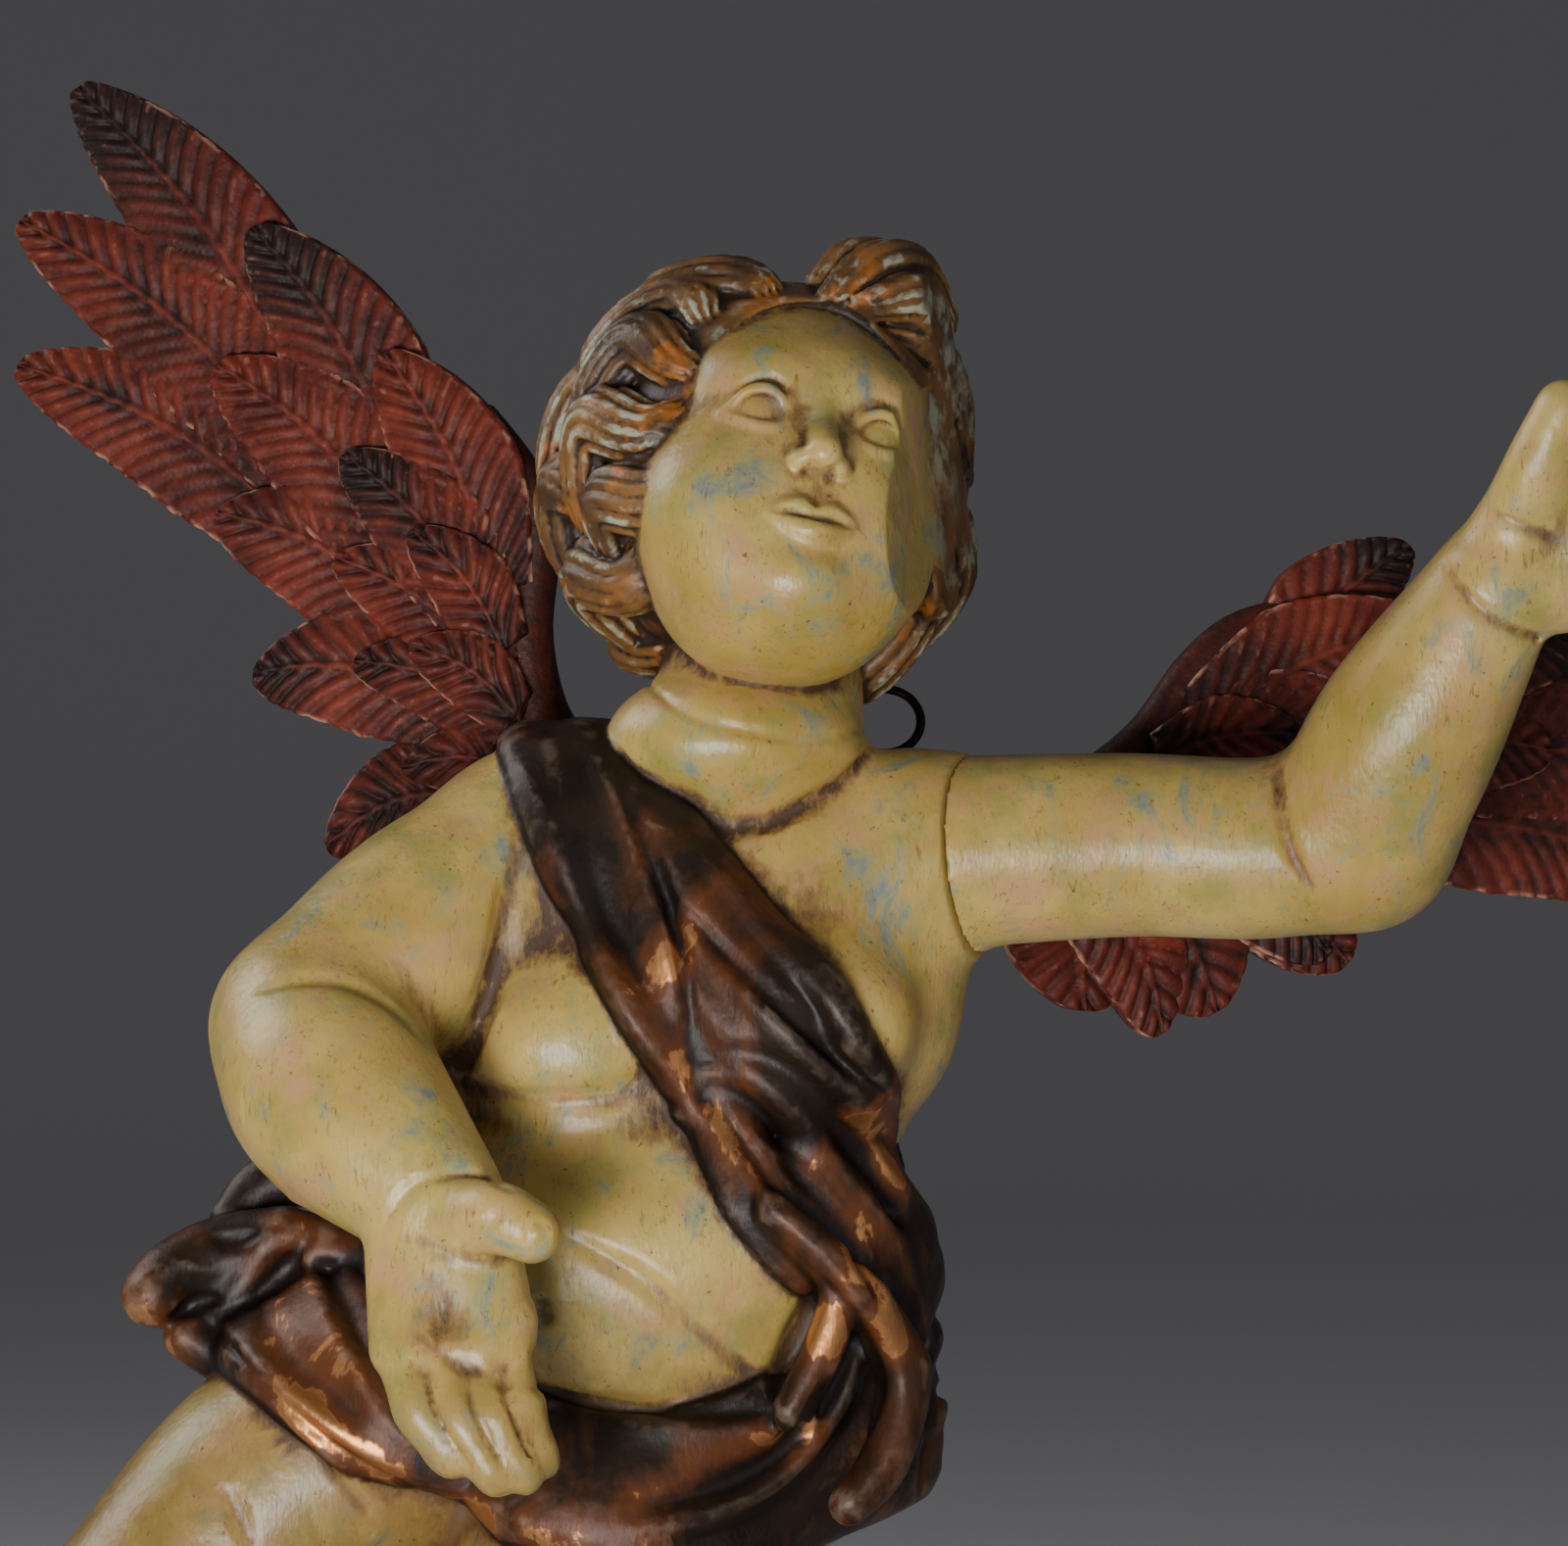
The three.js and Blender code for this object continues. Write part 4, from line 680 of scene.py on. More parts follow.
for row, (start, end, radius, turns) in enumerate(LOCK_ROWS):
    for i, turn in enumerate(turns):
        lock(turn, start + 4 * (i % 2), end + 6 * (i % 2), radius, 8, 1.1 * i + row)
FORELOCK = (
    ([(3, -42, 54), (16, -41, 69), (32, -31, 76), (48, -18, 70)], [5, 9, 10, 5]),
    ([(1, -32, 65), (13, -29, 78), (29, -18, 82), (43, -6, 75)], [5, 9, 9, 5]),
    ([(11, -47, 49), (28, -43, 60), (44, -32, 62), (55, -19, 54)], [4, 8, 8, 4]),
)
for path, radii in FORELOCK:
    route = curve(path, 17)
    girth = curve(np.array(radii, float)[:, None], 17)[:, 0]
    out = (route - HAIR_CENTRE) @ HEAD.T
    hair.rope(to_head(route), girth, 1.5, strands=9, relief=1.0, out=out, twist=3.5)
    outwards = route - HAIR_CENTRE
    outwards /= np.linalg.norm(outwards, axis=1)[:, None]
    top = route + outwards * (girth * 0.92)[:, None]
    hair.rope(to_head(top), 2.4, 1.2)
hair.cut(head_egg((0, -62, -20), (47, 64, 74)), 1.5)
hair.cut(head_egg((0, -30, -78), (60, 62, 34)), 1.5)
print("locks", sum(len(turns) for *_, turns in LOCK_ROWS) + len(FORELOCK))

# %% [markdown]
# ## Knife lines in the flesh
# Where the flesh folds, the carver cut a soft V. Each line is drawn as the eye sees it in the picture, in its
# pixels, and laid on the skin by looking along each pixel's ray until it meets the wood.
# %% Looking through the camera
EYE = np.array(CAMERA_PLACE) * 1000 - FIGURE_ORIGIN
PICTURE_WIDTH, PICTURE_HEIGHT = 1600, 1578
RAY_START, RAY_STEPS = 2020.0, 140


def seen(wood, pixels, lift=0.0):
    """Where the rays through these picture points meet the wood: step by the distance until it is nought."""
    pixels = np.asarray(pixels, float)
    spread = SENSOR_WIDTH / CAMERA_LENS / PICTURE_WIDTH
    right = (pixels[:, 0] - PICTURE_WIDTH / 2) * spread
    up = (PICTURE_HEIGHT / 2 - pixels[:, 1]) * spread
    way = np.stack([right, np.ones_like(up), up], 1)
    way /= np.linalg.norm(way, axis=1, keepdims=True)
    far = np.full(len(pixels), RAY_START)
    for _ in range(RAY_STEPS):
        far = far + 0.7 * np.clip(wood.at(EYE + way * far[:, None]) - lift, -4, 6)
    return EYE + way * far[:, None]


# Each entry: the picture points, then the depth and the half width of the cut in mm.
BODY_LINES = {
    "armpit": (((524, 868), (514, 940), (502, 1000), (486, 1060), (470, 1100)), 6.5, 3.6),
    "inner elbow": (((262, 1010), (300, 1000), (350, 1002), (400, 1028), (432, 1064)), 4.4, 3.0),
    "right wrist": (((392, 1250), (410, 1222), (432, 1205), (480, 1196), (522, 1216)), 3.2, 2.2),
    "under the breast": (((470, 1104), (520, 1120), (562, 1124), (631, 1118), (662, 1084)), 3.6, 3.6),
    "over the belly": (((579, 1262), (654, 1305), (711, 1357), (765, 1400)), 5.0, 3.0),
    "under the chin roll": (
        ((636, 770), (660, 806), (700, 834), (770, 844), (850, 804), (886, 768)),
        4.6, 3.0,
    ),
    "under the jaw": (((652, 690), (700, 728), (770, 748), (840, 754), (896, 738)), 2.6, 1.8),
    "thigh": (((232, 1519), (244, 1546), (257, 1576)), 3.0, 3.0),
    "thumb's root": (((489, 1270), (497, 1250), (516, 1232)), 2.4, 1.6),
    "palm": (((424, 1362), (455, 1384), (490, 1402), (522, 1418)), 1.6, 2.4),
    "palm hollow": (((440, 1340), (466, 1352)), 2.6, 9.0),
    "life line": (((436, 1300), (450, 1330), (446, 1372)), 1.2, 2.2),
}
ARM_LINES = {
    "elbow": (((1303, 778), (1304, 812), (1311, 850), (1324, 884), (1340, 908)), 3.4, 2.2),
    "left wrist": (((1474, 574), (1492, 602), (1520, 630), (1556, 648), (1594, 654)), 3.2, 1.9),
    "left thumb's root": (((1520, 520), (1552, 536), (1590, 552)), 2.0, 2.0),
}
for wood, lines in ((body, BODY_LINES), (arm, ARM_LINES)):
    for pixels, depth, width in lines.values():
        path = seen(wood, curve(pixels, 12))
        wood.line(path, depth, width)
        # Narrow lines are also darkened in the paint, as umber glazing with painted shade.
        if width < 5:
            glaze_and_shade_lines.append(path)
NAVEL, NAVEL_FOOT, THUMB_NAIL = (554, 1338), (556, 1342), (548, 1260)


def ring_line(spot, half_width, half_height, depth, width):
    """A line round a spot of the picture, cut into the body and then darkened."""
    around = np.linspace(0, 2 * np.pi, 13)
    ring = [spot[0] + half_width * np.cos(around), spot[1] + half_height * np.sin(around)]
    body.line(seen(body, np.stack(ring, 1)), depth, width)
    glaze_and_shade_lines.append(seen(body, np.stack(ring, 1)))


ring_line(NAVEL, 13, 17, -1.6, 3.0)
body.line(seen(body, [NAVEL, NAVEL_FOOT]), 8.0, 3.4)
ring_line(THUMB_NAIL, 10, 13, 1.8, 1.1)
# Darkened in the paint as painted shade with umber glazing: the finger pads, which face away from the light,
# the joints and the heel of the hand; the elbow scuff is darkened as well.
DARKENED = {
    "finger pads": (
        ((430, 1440), (466, 1502)),
        ((474, 1424), (510, 1496)),
        ((505, 1430), (540, 1496)),
        ((532, 1440), (560, 1490)),
    ),
    "joints": (
        ((424, 1424), (470, 1420)),
        ((452, 1460), (486, 1452)),
        ((486, 1452), (520, 1446)),
        ((516, 1450), (548, 1446)),
    ),
    "heel of the hand": (
        ((392, 1330), (398, 1362)),
        ((436, 1340), (470, 1360)),
    ),
    "elbow scuff": (
        ((1372, 936), (1398, 930)),
    ),
}
for paths in DARKENED.values():
    for pixels in paths:
        glaze_and_shade_lines.append(seen(arm if pixels[0][0] > 1200 else body, pixels))
print("lines in the flesh", len(BODY_LINES) + len(ARM_LINES))

# %% [markdown]
# ## The gilded sash
# One long cloth winds over the right shoulder, across to the left hip and round the belly, and its end flies
# out behind the right hip. Real cloth could be draped, but a carver's cloth is a set of rolls and crests that
# run together, so it is made of ropes laid side by side on the body, with sharper crests on top.
# %% Rolls and crests
cloth = Wood(figure_axes)
SASH_INNER = [
    (-51, -22, 459), (-40, -45, 427), (-27, -58, 404), (-12, -64, 376), (3, -68, 356), (16, -72, 336),
    (28, -74, 312), (50, -66, 288), (88, -22, 266), (96, 30, 272), (60, 62, 304), (22, 62, 352),
    (-16, 52, 404), (-48, 24, 450),
]
SASH_OUTER = [
    (-11, -22, 464), (4, -40, 442), (24, -50, 416), (46, -52, 388), (62, -46, 362), (76, -38, 338),
    (86, -24, 322), (96, 0, 310), (92, 30, 318), (72, 56, 338), (48, 60, 376), (14, 54, 428),
    (-8, 34, 456), (-18, 8, 470),
]
WRAP_UPPER = [
    (98, -4, 300), (84, -42, 272), (52, -66, 254), (14, -76, 242), (-28, -78, 240), (-66, -70, 250),
    (-104, -46, 276), (-122, -8, 296), (-100, 48, 296), (-36, 72, 294), (44, 64, 296), (90, 30, 304),
]
WRAP_LOWER = [
    (92, -4, 204), (78, -42, 192), (40, -62, 184), (-2, -68, 192), (-44, -72, 210), (-84, -68, 226),
    (-124, -44, 246), (-150, -6, 266), (-112, 56, 236), (-36, 76, 206), (48, 64, 200), (88, 34, 204),
]
STEPS = 72


def rolls(inner, outer, count, radius, ripple):
    """Ropes side by side between two edges: place i sways by ripple * sin(3 pi t + 2.1 i)."""
    a, b = curve(inner, STEPS, True), curve(outer, STEPS, True)
    t = np.arange(STEPS) / STEPS
    for i in range(count):
        share = i / (count - 1)
        sway = ripple * np.sin(3 * np.pi * t + 2.1 * i) * np.sin(np.pi * share)
        rough = a + (b - a) * np.clip(share + sway, 0, 1)[:, None]
        path = under_cloth.lay(rough, 1.2 * np.sin(2.4 * i + 9.1 * t))
        edge = 0.72 if share in (0, 1) else 1.0
        girth = radius * edge * (0.9 + 0.1 * np.cos(1.7 * i + 13 * t))
        cloth.rope(np.concatenate([path, path[:1]]), np.append(girth, girth[0]), 8)


def crests(inner, outer, shares, radius, height, span=(0.0, 1.0), sway=0.05):
    """Sharp ridges along the cloth that rise and fall as the root of sin(pi t)."""
    a, b = curve(inner, STEPS, True), curve(outer, STEPS, True)
    for i, share in enumerate(shares):
        t = np.linspace(*span, 40)
        place = (t * STEPS).astype(int) % STEPS
        across = share + sway * np.sin(2 * np.pi * (1.3 * t + 0.37 * i))
        rise = np.sqrt(np.sin(np.pi * np.linspace(0.02, 0.98, 40)))
        path = under_cloth.lay(a[place] + (b[place] - a[place]) * across[:, None], 2 + height * rise)
        cloth.rope(path, radius * (0.35 + 0.65 * rise), 5)


rolls(SASH_INNER, SASH_OUTER, 6, 9.5, 0.1)
rolls(WRAP_UPPER, WRAP_LOWER, 9, 10, 0.08)
crests(SASH_INNER, SASH_OUTER, (0.05, 0.3, 0.52, 0.74, 0.95), 3.4, 8.5, (0.55, 0.98))
crests(WRAP_UPPER, WRAP_LOWER, (0.04, 0.2, 0.36, 0.52, 0.68, 0.84, 0.96), 3.6, 8.5, (0.6, 1.08))
print("cloth laid")

# %% Flying end and hip folds
FLYING_END = (
    (
        [(-100, -6, 290), (-128, -4, 298), (-150, 0, 296), (-168, -4, 288), (-175, -8, 280)],
        [10, 10, 11, 11, 11],
    ),
    ([(-92, 6, 306), (-118, 14, 318), (-138, 16, 316), (-150, 12, 304)], [9, 10, 10, 8]),
    ([(-108, -18, 264), (-132, -12, 262), (-152, -6, 260), (-164, -6, 266)], [10, 9, 9, 8]),
)
for path, radii in FLYING_END:
    limb(cloth, path, radii, 3)
cloth.join(egg((-132, -3, 283), (42, 9, 23)), 4)
HIP_FOLDS = (
    ([(34, -70, 312), (58, -66, 288), (75, -52, 260), (70, -58, 231), (58, -64, 216)], [6, 8, 9, 8.5, 7]),
    ([(55, -66, 282), (48, -68, 264), (40, -70, 248)], [7, 7, 7]),
)
for path, radii in HIP_FOLDS:
    limb(cloth, path, radii, 5)
POCKET_FLOOR = ((858, 1300), (842, 1350), (822, 1400), (806, 1444))
limb(cloth, seen(body, POCKET_FLOOR, -6), [10, 12, 12, 10], 5)

# Ridges and grooves that show in the picture: its points, then height (less than nought is a groove) and
# half width in mm. A sharp one falls away as exp(-away / width), a round one as exp(-(away / width) ** 2).
FRONT_FOLDS = {
    "rolled inner edge": (
        ((532, 776), (559, 841), (599, 943), (644, 1039), (682, 1090), (714, 1140)),
        2.6, 3.6, False,
    ),
    "inner edge below": (
        (
            (700, 1118), (751, 1183), (794, 1237), (831, 1269), (869, 1312), (901, 1354), (920, 1402),
            (922, 1446), (904, 1492), (872, 1534),
        ),
        4.0, 2.8, True,
    ),
    "beside it": (((838, 1302), (872, 1348), (892, 1390), (896, 1430), (880, 1474)), -3.0, 3.0, False),
    "shoulder fold": (((607, 772), (634, 825), (660, 900), (680, 964), (692, 1036)), 5.0, 3.0, True),
    "beside the shoulder fold": (
        ((626, 790), (650, 846), (674, 906), (694, 966), (706, 1040)),
        -5.0, 3.6, False,
    ),
    "flat between": (((580, 800), (604, 880), (634, 950), (664, 1020)), -2.4, 5.0, False),
    "long fold": (
        ((652, 880), (690, 940), (735, 992), (782, 1034), (834, 1086), (885, 1126), (922, 1158)),
        5.0, 2.8, True,
    ),
    "beside the long fold": (
        ((700, 930), (750, 984), (800, 1030), (850, 1078), (900, 1118)),
        -3.4, 3.0, False,
    ),
    "outer edge": (
        ((650, 836), (690, 856), (734, 896), (782, 954), (844, 1018), (892, 1088), (926, 1150)),
        2.4, 3.4, False,
    ),
    "middle fold": (
        (
            (722, 1094), (788, 1114), (831, 1162), (874, 1215), (906, 1258), (930, 1312), (942, 1370),
            (940, 1430),
        ),
        5.0, 3.0, True,
    ),
    "over the middle fold": (
        ((740, 1070), (800, 1092), (850, 1140), (886, 1186), (908, 1222)),
        -5.0, 4.6, False,
    ),
    "dark hole": (((902, 1226), (916, 1238)), -10.0, 4.4, False),
    "second fold": (
        ((736, 1116), (778, 1172), (820, 1196), (862, 1242), (896, 1300), (912, 1350)),
        3.2, 2.6, True,
    ),
    "below the second fold": (
        ((742, 1142), (790, 1206), (832, 1240), (874, 1284), (900, 1332)),
        -3.6, 3.0, False,
    ),
    "pocket": (((832, 1322), (812, 1368), (790, 1420)), -11.0, 3.6, False),
    "pocket's far side": (((868, 1366), (854, 1402), (838, 1444)), -11.0, 3.4, False),
    "wrap's top edge": (
        ((540, 1430), (600, 1444), (660, 1456), (740, 1462), (800, 1458), (838, 1450)),
        4.0, 2.6, True,
    ),
    "over the wrap's edge": (((540, 1416), (620, 1432), (700, 1442), (780, 1438)), -3.0, 3.0, False),
    "swirl": (
        ((650, 1562), (720, 1546), (780, 1520), (826, 1480), (858, 1430), (872, 1384)),
        5.0, 3.4, True,
    ),
    "above the swirl": (
        ((668, 1536), (730, 1518), (784, 1492), (822, 1452), (846, 1408)),
        -4.4, 5.0, False,
    ),
    "under the swirl": (
        ((700, 1574), (766, 1552), (820, 1516), (864, 1462), (888, 1400)),
        -4.0, 4.6, False,
    ),
    "back flank fold": (
        ((944, 1180), (962, 1240), (972, 1310), (968, 1380), (950, 1450), (938, 1530)),
        -3.6, 3.4, False,
    ),
    "scroll's lip": (((146, 1330), (150, 1304), (184, 1292), (216, 1296), (242, 1280)), 3.2, 2.2, True),
    "scroll's hollow": (((172, 1346), (200, 1330), (226, 1326)), -3.6, 2.6, False),
    "over the scroll": (((214, 1262), (240, 1266), (268, 1258)), -3.4, 2.6, False),
    "front hem": (
        (
            (222, 1338), (244, 1368), (270, 1398), (299, 1426), (337, 1457), (372, 1480), (407, 1496),
            (452, 1515), (503, 1534), (544, 1560),
        ),
        4.6, 2.6, True,
    ),
    "under the hem": (
        ((226, 1360), (262, 1406), (304, 1444), (344, 1478), (384, 1502), (440, 1528)),
        -4.0, 3.0, False,
    ),
    "second roll": (
        ((230, 1378), (270, 1414), (305, 1452), (343, 1490), (375, 1528), (394, 1560)),
        4.0, 3.4, False,
    ),
    "inner ridge": (
        ((308, 1274), (324, 1314), (343, 1362), (366, 1404), (388, 1440), (420, 1476)),
        4.6, 2.6, True,
    ),
    "hollow of the front": (((262, 1330), (290, 1374), (326, 1414), (366, 1446)), -4.6, 6.0, False),
    "hollow by the hand": (((330, 1290), (352, 1334), (372, 1378)), -3.6, 4.6, False),
    "turned band": (((300, 1224), (272, 1268), (246, 1310), (224, 1336)), 4.0, 3.4, True),
    "beside the band": (((318, 1256), (292, 1294), (262, 1322)), -4.0, 3.4, False),
}
print("folds seen from the front", len(FRONT_FOLDS))

# %% [markdown]
# ## One skin for the figure
# The forms are joined in the order in which they lie, the flat seats for the wings are cut in the back, and
# the raised arm is parted at the shoulder, where the real one shows a dark glue line.
# %% Join, saw and skin
flesh = soft(body.d, head.d, 2.5)
plain = Wood(figure_axes)
plain.d = soft(np.minimum(flesh, hair.d), cloth.d, 1.2)
whole = Wood(figure_axes)
whole.d = plain.d.copy()
folded = {name: seen(plain, curve(pixels, 22)) for name, (pixels, *_) in FRONT_FOLDS.items()}
for name, (_, height, width, sharp) in FRONT_FOLDS.items():
    whole.line(folded[name], -height, width, sharp)
x, y, z = whole.places()
whole.d = np.maximum(whole.d, -z)

WING_UNIT = 310 / 277
WING_DEPTH, WING_SWEEP, LEFT_TURN = 72.0, np.radians(13), np.radians(42)
SEAT_FRONT = -19 - 3 * 0.35
SEAT_OUTER, SEAT_UPPER, SEAT_ROOM = -76, 68, 23
FOOT = np.array([28.0, 0.0, -34.0]) * WING_UNIT
WINGS = {
    "right": ((-34.0, WING_DEPTH, 446.0), 0.0, 1),
    "left": ((112.0, WING_DEPTH, 436.0), LEFT_TURN, -1),
}


def wing_turn(side):
    """The wing's own axes on the figure, as columns."""
    _, turn, sign = WINGS[side]
    return turned(2, -sign * WING_SWEEP) @ turned(1, turn) @ np.diag([sign, 1, 1])


for side in WINGS:
    m, (px, py, pz) = wing_turn(side), WINGS[side][0]
    across, deep, up = (m[0, i] * (x - px) + m[1, i] * (y - py) + m[2, i] * (z - pz) for i in range(3))
    seat = np.maximum(across - (FOOT[0] + SEAT_ROOM), SEAT_OUTER - across)
    seat = np.maximum(seat, np.maximum(up - SEAT_UPPER, FOOT[2] - SEAT_ROOM - up))
    seat = np.maximum(seat, SEAT_FRONT - deep)
    whole.d = np.maximum(whole.d, -seat.astype(REAL))

SEAM_CENTRE = np.array([101.0, 0.0, 428.0])
SEAM_AXES = turned(2, np.radians(-20)) @ turned(1, np.radians(-4))
HALF_GAP = 0.175
ARMPIT_DROP = 36.0


def arm_side(x, y, z):
    """Distance to the part of space that holds the raised arm: beyond the saw cut, above the armpit."""
    x, y, z = x - SEAM_CENTRE[0], y - SEAM_CENTRE[1], z - SEAM_CENTRE[2]
    across, up = (SEAM_AXES[0, i] * x + SEAM_AXES[1, i] * y + SEAM_AXES[2, i] * z for i in (0, 2))
    return np.maximum(-across, -ARMPIT_DROP - up)


whole.d = np.maximum(whole.d, -(arm_side(x, y, z) - HALF_GAP)).astype(REAL)
arm.d = np.maximum(arm.d, arm_side(*arm.places()) + HALF_GAP).astype(REAL)
MOST_TRIANGLES, MOST_ARM_TRIANGLES = 194000, 100000
figure_mesh = thinned(mesh_of("carved_figure", *skin_of(whole)), MOST_TRIANGLES)
arm_mesh = thinned(mesh_of("raised_arm", *skin_of(arm)), MOST_ARM_TRIANGLES)
print("skins", len(figure_mesh.polygons), len(arm_mesh.polygons))

# %% What the paint needs to know
def hollows(mesh, rounds):
    """How deep each point lies below the mesh smoothed round after round, in mm along its normal.

    Each round moves a point to the mean of its neighbours, so the reach grows as the root of the rounds.
    """
    edges = np.empty(len(mesh.edges) * 2, np.int32)
    mesh.edges.foreach_get("vertices", edges)
    a, b = edges.reshape(-1, 2).T
    count = len(mesh.vertices)
    normals = np.empty(count * 3, REAL)
    mesh.vertices.foreach_get("normal", normals)
    start = points_of(mesh)
    now = start.copy()
    degree = np.bincount(a, minlength=count) + np.bincount(b, minlength=count)
    kept = {}
    for done in range(1, max(rounds) + 1):
        pulled = [np.bincount(a, now[b, i], count) + np.bincount(b, now[a, i], count) for i in range(3)]
        now = np.stack(pulled, 1) / np.maximum(degree, 1)[:, None]
        if done in rounds:
            kept[done] = ((now - start) * normals.reshape(-1, 3)).sum(1)
    return kept


def nearness(points, lines, reach):
    """exp(-(away / reach) ** 2) from the nearest of many drawn lines."""
    dots = np.concatenate([curve(line, 4 * len(line)) for line in lines])
    parts = np.array_split(points, 60)
    nearest = np.concatenate([np.square(part[:, None, :] - dots[None]).sum(-1).min(1) for part in parts])
    return np.exp(-np.square(np.sqrt(nearest) / reach))


# On flesh, sash and hair the paint darkens these hollows as painted shade, with umber glazing on the flesh.
# Each mark: its rounds of smoothing, and the depth in mm that counts as one.
HOLLOWS = {"fine_hollow": (3, 0.3), "hollow": (24, 1.2), "wide_hollow": (160, 5.0)}
for mesh in (figure_mesh, arm_mesh):
    depth = hollows(mesh, [rounds for rounds, _ in HOLLOWS.values()])
    for name, (rounds, unit) in HOLLOWS.items():
        mark(mesh, name, depth[rounds] / unit)
    mark(mesh, "line", nearness(points_of(mesh), glaze_and_shade_lines, 6.0))
points = points_of(figure_mesh)
skin = Wood(figure_axes)
skin.d = flesh
unfolded = plain.lay(points, 0)
rest = np.minimum(skin.at(unfolded), hair.at(unfolded))
mark(figure_mesh, "cloth", np.clip(0.5 + (rest - cloth.at(unfolded)) / 1.5, 0, 1))
mark(figure_mesh, "hair", np.clip(0.5 + (skin.at(unfolded) - hair.at(unfolded)) / 1.5, 0, 1))
# Nearness to the cloth and to the hair: the flesh paint darkens it as painted shade.
mark(figure_mesh, "by_cloth", np.exp(-np.clip(cloth.at(points), 0, 60) / 6))
mark(figure_mesh, "by_hair", np.exp(-np.clip(hair.at(points), 0, 60) / 4))
GILT = {
    "flank": ((868, 1146), (890, 1166), (914, 1192)),
    "inner edge": ((700, 1084), (722, 1124), (748, 1166), (768, 1196)),
    "middle fold": ((836, 1196), (858, 1222), (880, 1252)),
    "below it": ((880, 1290), (902, 1330), (914, 1370)),
    "wrap": ((704, 1490), (760, 1478), (820, 1466)),
    "pocket": ((844, 1350), (840, 1364)),
    "front hem": ((306, 1440), (350, 1476), (396, 1506)),
    "hem by the thigh": ((380, 1520), (440, 1528), (500, 1552)),
    "flank's edge": ((946, 1200), (944, 1280)),
    "swirl": ((660, 1516), (700, 1510)),
}
gilt_lines = [seen(plain, spots) for spots in GILT.values()]
mark(figure_mesh, "gilt", nearness(points, gilt_lines, 7.5))
print("depths", {rounds: np.percentile(value, (2, 50, 98)).round(2) for rounds, value in depth.items()})

# %% [markdown]
# ## Paint on the flesh, leaf on the sash, brown on the hair
# The real figure is gesso and oil colour: a cream ochre flesh, rubbed through to a pale blue ground here and
# there, then umber glazing that was wiped off the heights and stayed in the hollows; painted shade deepens
# the hollows and creases, the flesh beside the sash and the hair, and the lower part of the figure. Wax gives
# it a soft gloss. The sash is dark bole that keeps copper leaf in a few patches, with rust round them,
# painted shade in its hollows and a painted highlight on its crests. The hair has painted shade in its
# hollows and a painted highlight on the crests of its strands. One shader mixes flesh, sash and hair by the
# marks.
# %% Figure paint
# Short names for the nodes: Blender's own name, the sockets in the order in which values are given, the
# output that is read on, and the settings that stay.
NODES = {
    "place": ("ShaderNodeTexCoord", (), "Object", {}),
    "moved": ("ShaderNodeMapping", ("Vector", "Scale", "Location"), 0, {}),
    "noise": ("ShaderNodeTexNoise", ("Vector", "Scale", "Detail", "Roughness", "Distortion"), "Fac", {}),
    "range": ("ShaderNodeMapRange", ("Value", "From Min", "From Max", "To Min", "To Max"), 0, {}),
    "blend": ("ShaderNodeMix", (0, 6, 7), 2, {"data_type": "RGBA"}),
    "plus": ("ShaderNodeMath", (0, 1), 0, {"operation": "ADD"}),
    "times": ("ShaderNodeMath", (0, 1), 0, {"operation": "MULTIPLY"}),
    "most": ("ShaderNodeMath", (0, 1), 0, {"operation": "MAXIMUM"}),
    "unsigned": ("ShaderNodeMath", (0,), 0, {"operation": "ABSOLUTE"}),
    "mark": ("ShaderNodeAttribute", (), "Fac", {}),
    "height": ("ShaderNodeSeparateXYZ", (0,), "Z", {}),
    "bump": ("ShaderNodeBump", ("Height", "Strength", "Distance", "Normal"), 0, {}),
    "surface": (
        "ShaderNodeBsdfPrincipled",
        ("Base Color", "Roughness", "Metallic", "Normal", "Specular IOR Level"), 0, {},
    ),
    "mix": ("ShaderNodeMixShader", (0, 1, 2), 0, {}),
}


def put(tree, kind, *values, **settings):
    """Add a node and return its output: values, colours or links fill its sockets in the order above."""
    name, sockets, output, fixed = NODES[kind]
    node = tree.nodes.new(name)
    for setting, value in {**fixed, **settings}.items():
        setattr(node, setting, value)
    for socket, value in zip(sockets, values):
        value = linear(value) if isinstance(value, str) else value
        if isinstance(value, bpy.types.NodeSocket):
            tree.links.new(value, node.inputs[socket])
        else:
            node.inputs[socket].default_value = value
    return node.outputs[output]


def new_material(name):
    """A bare material, what adds a node to it, and the socket its surface goes to."""
    material = bpy.data.materials.new(name)
    material.use_nodes = True
    tree = material.node_tree
    tree.nodes.remove(tree.nodes["Principled BSDF"])
    return material, partial(put, tree), tree.nodes["Material Output"].inputs[0]


def blotch(add, place, size_mm, detail, rough, low, high, most, twist=0.0):
    """Share of blotches about size_mm across: nought where the noise is under low, most where over high."""
    return add("range", add("noise", place, 1000 / size_mm, detail, rough, twist), low, high, 0, most)


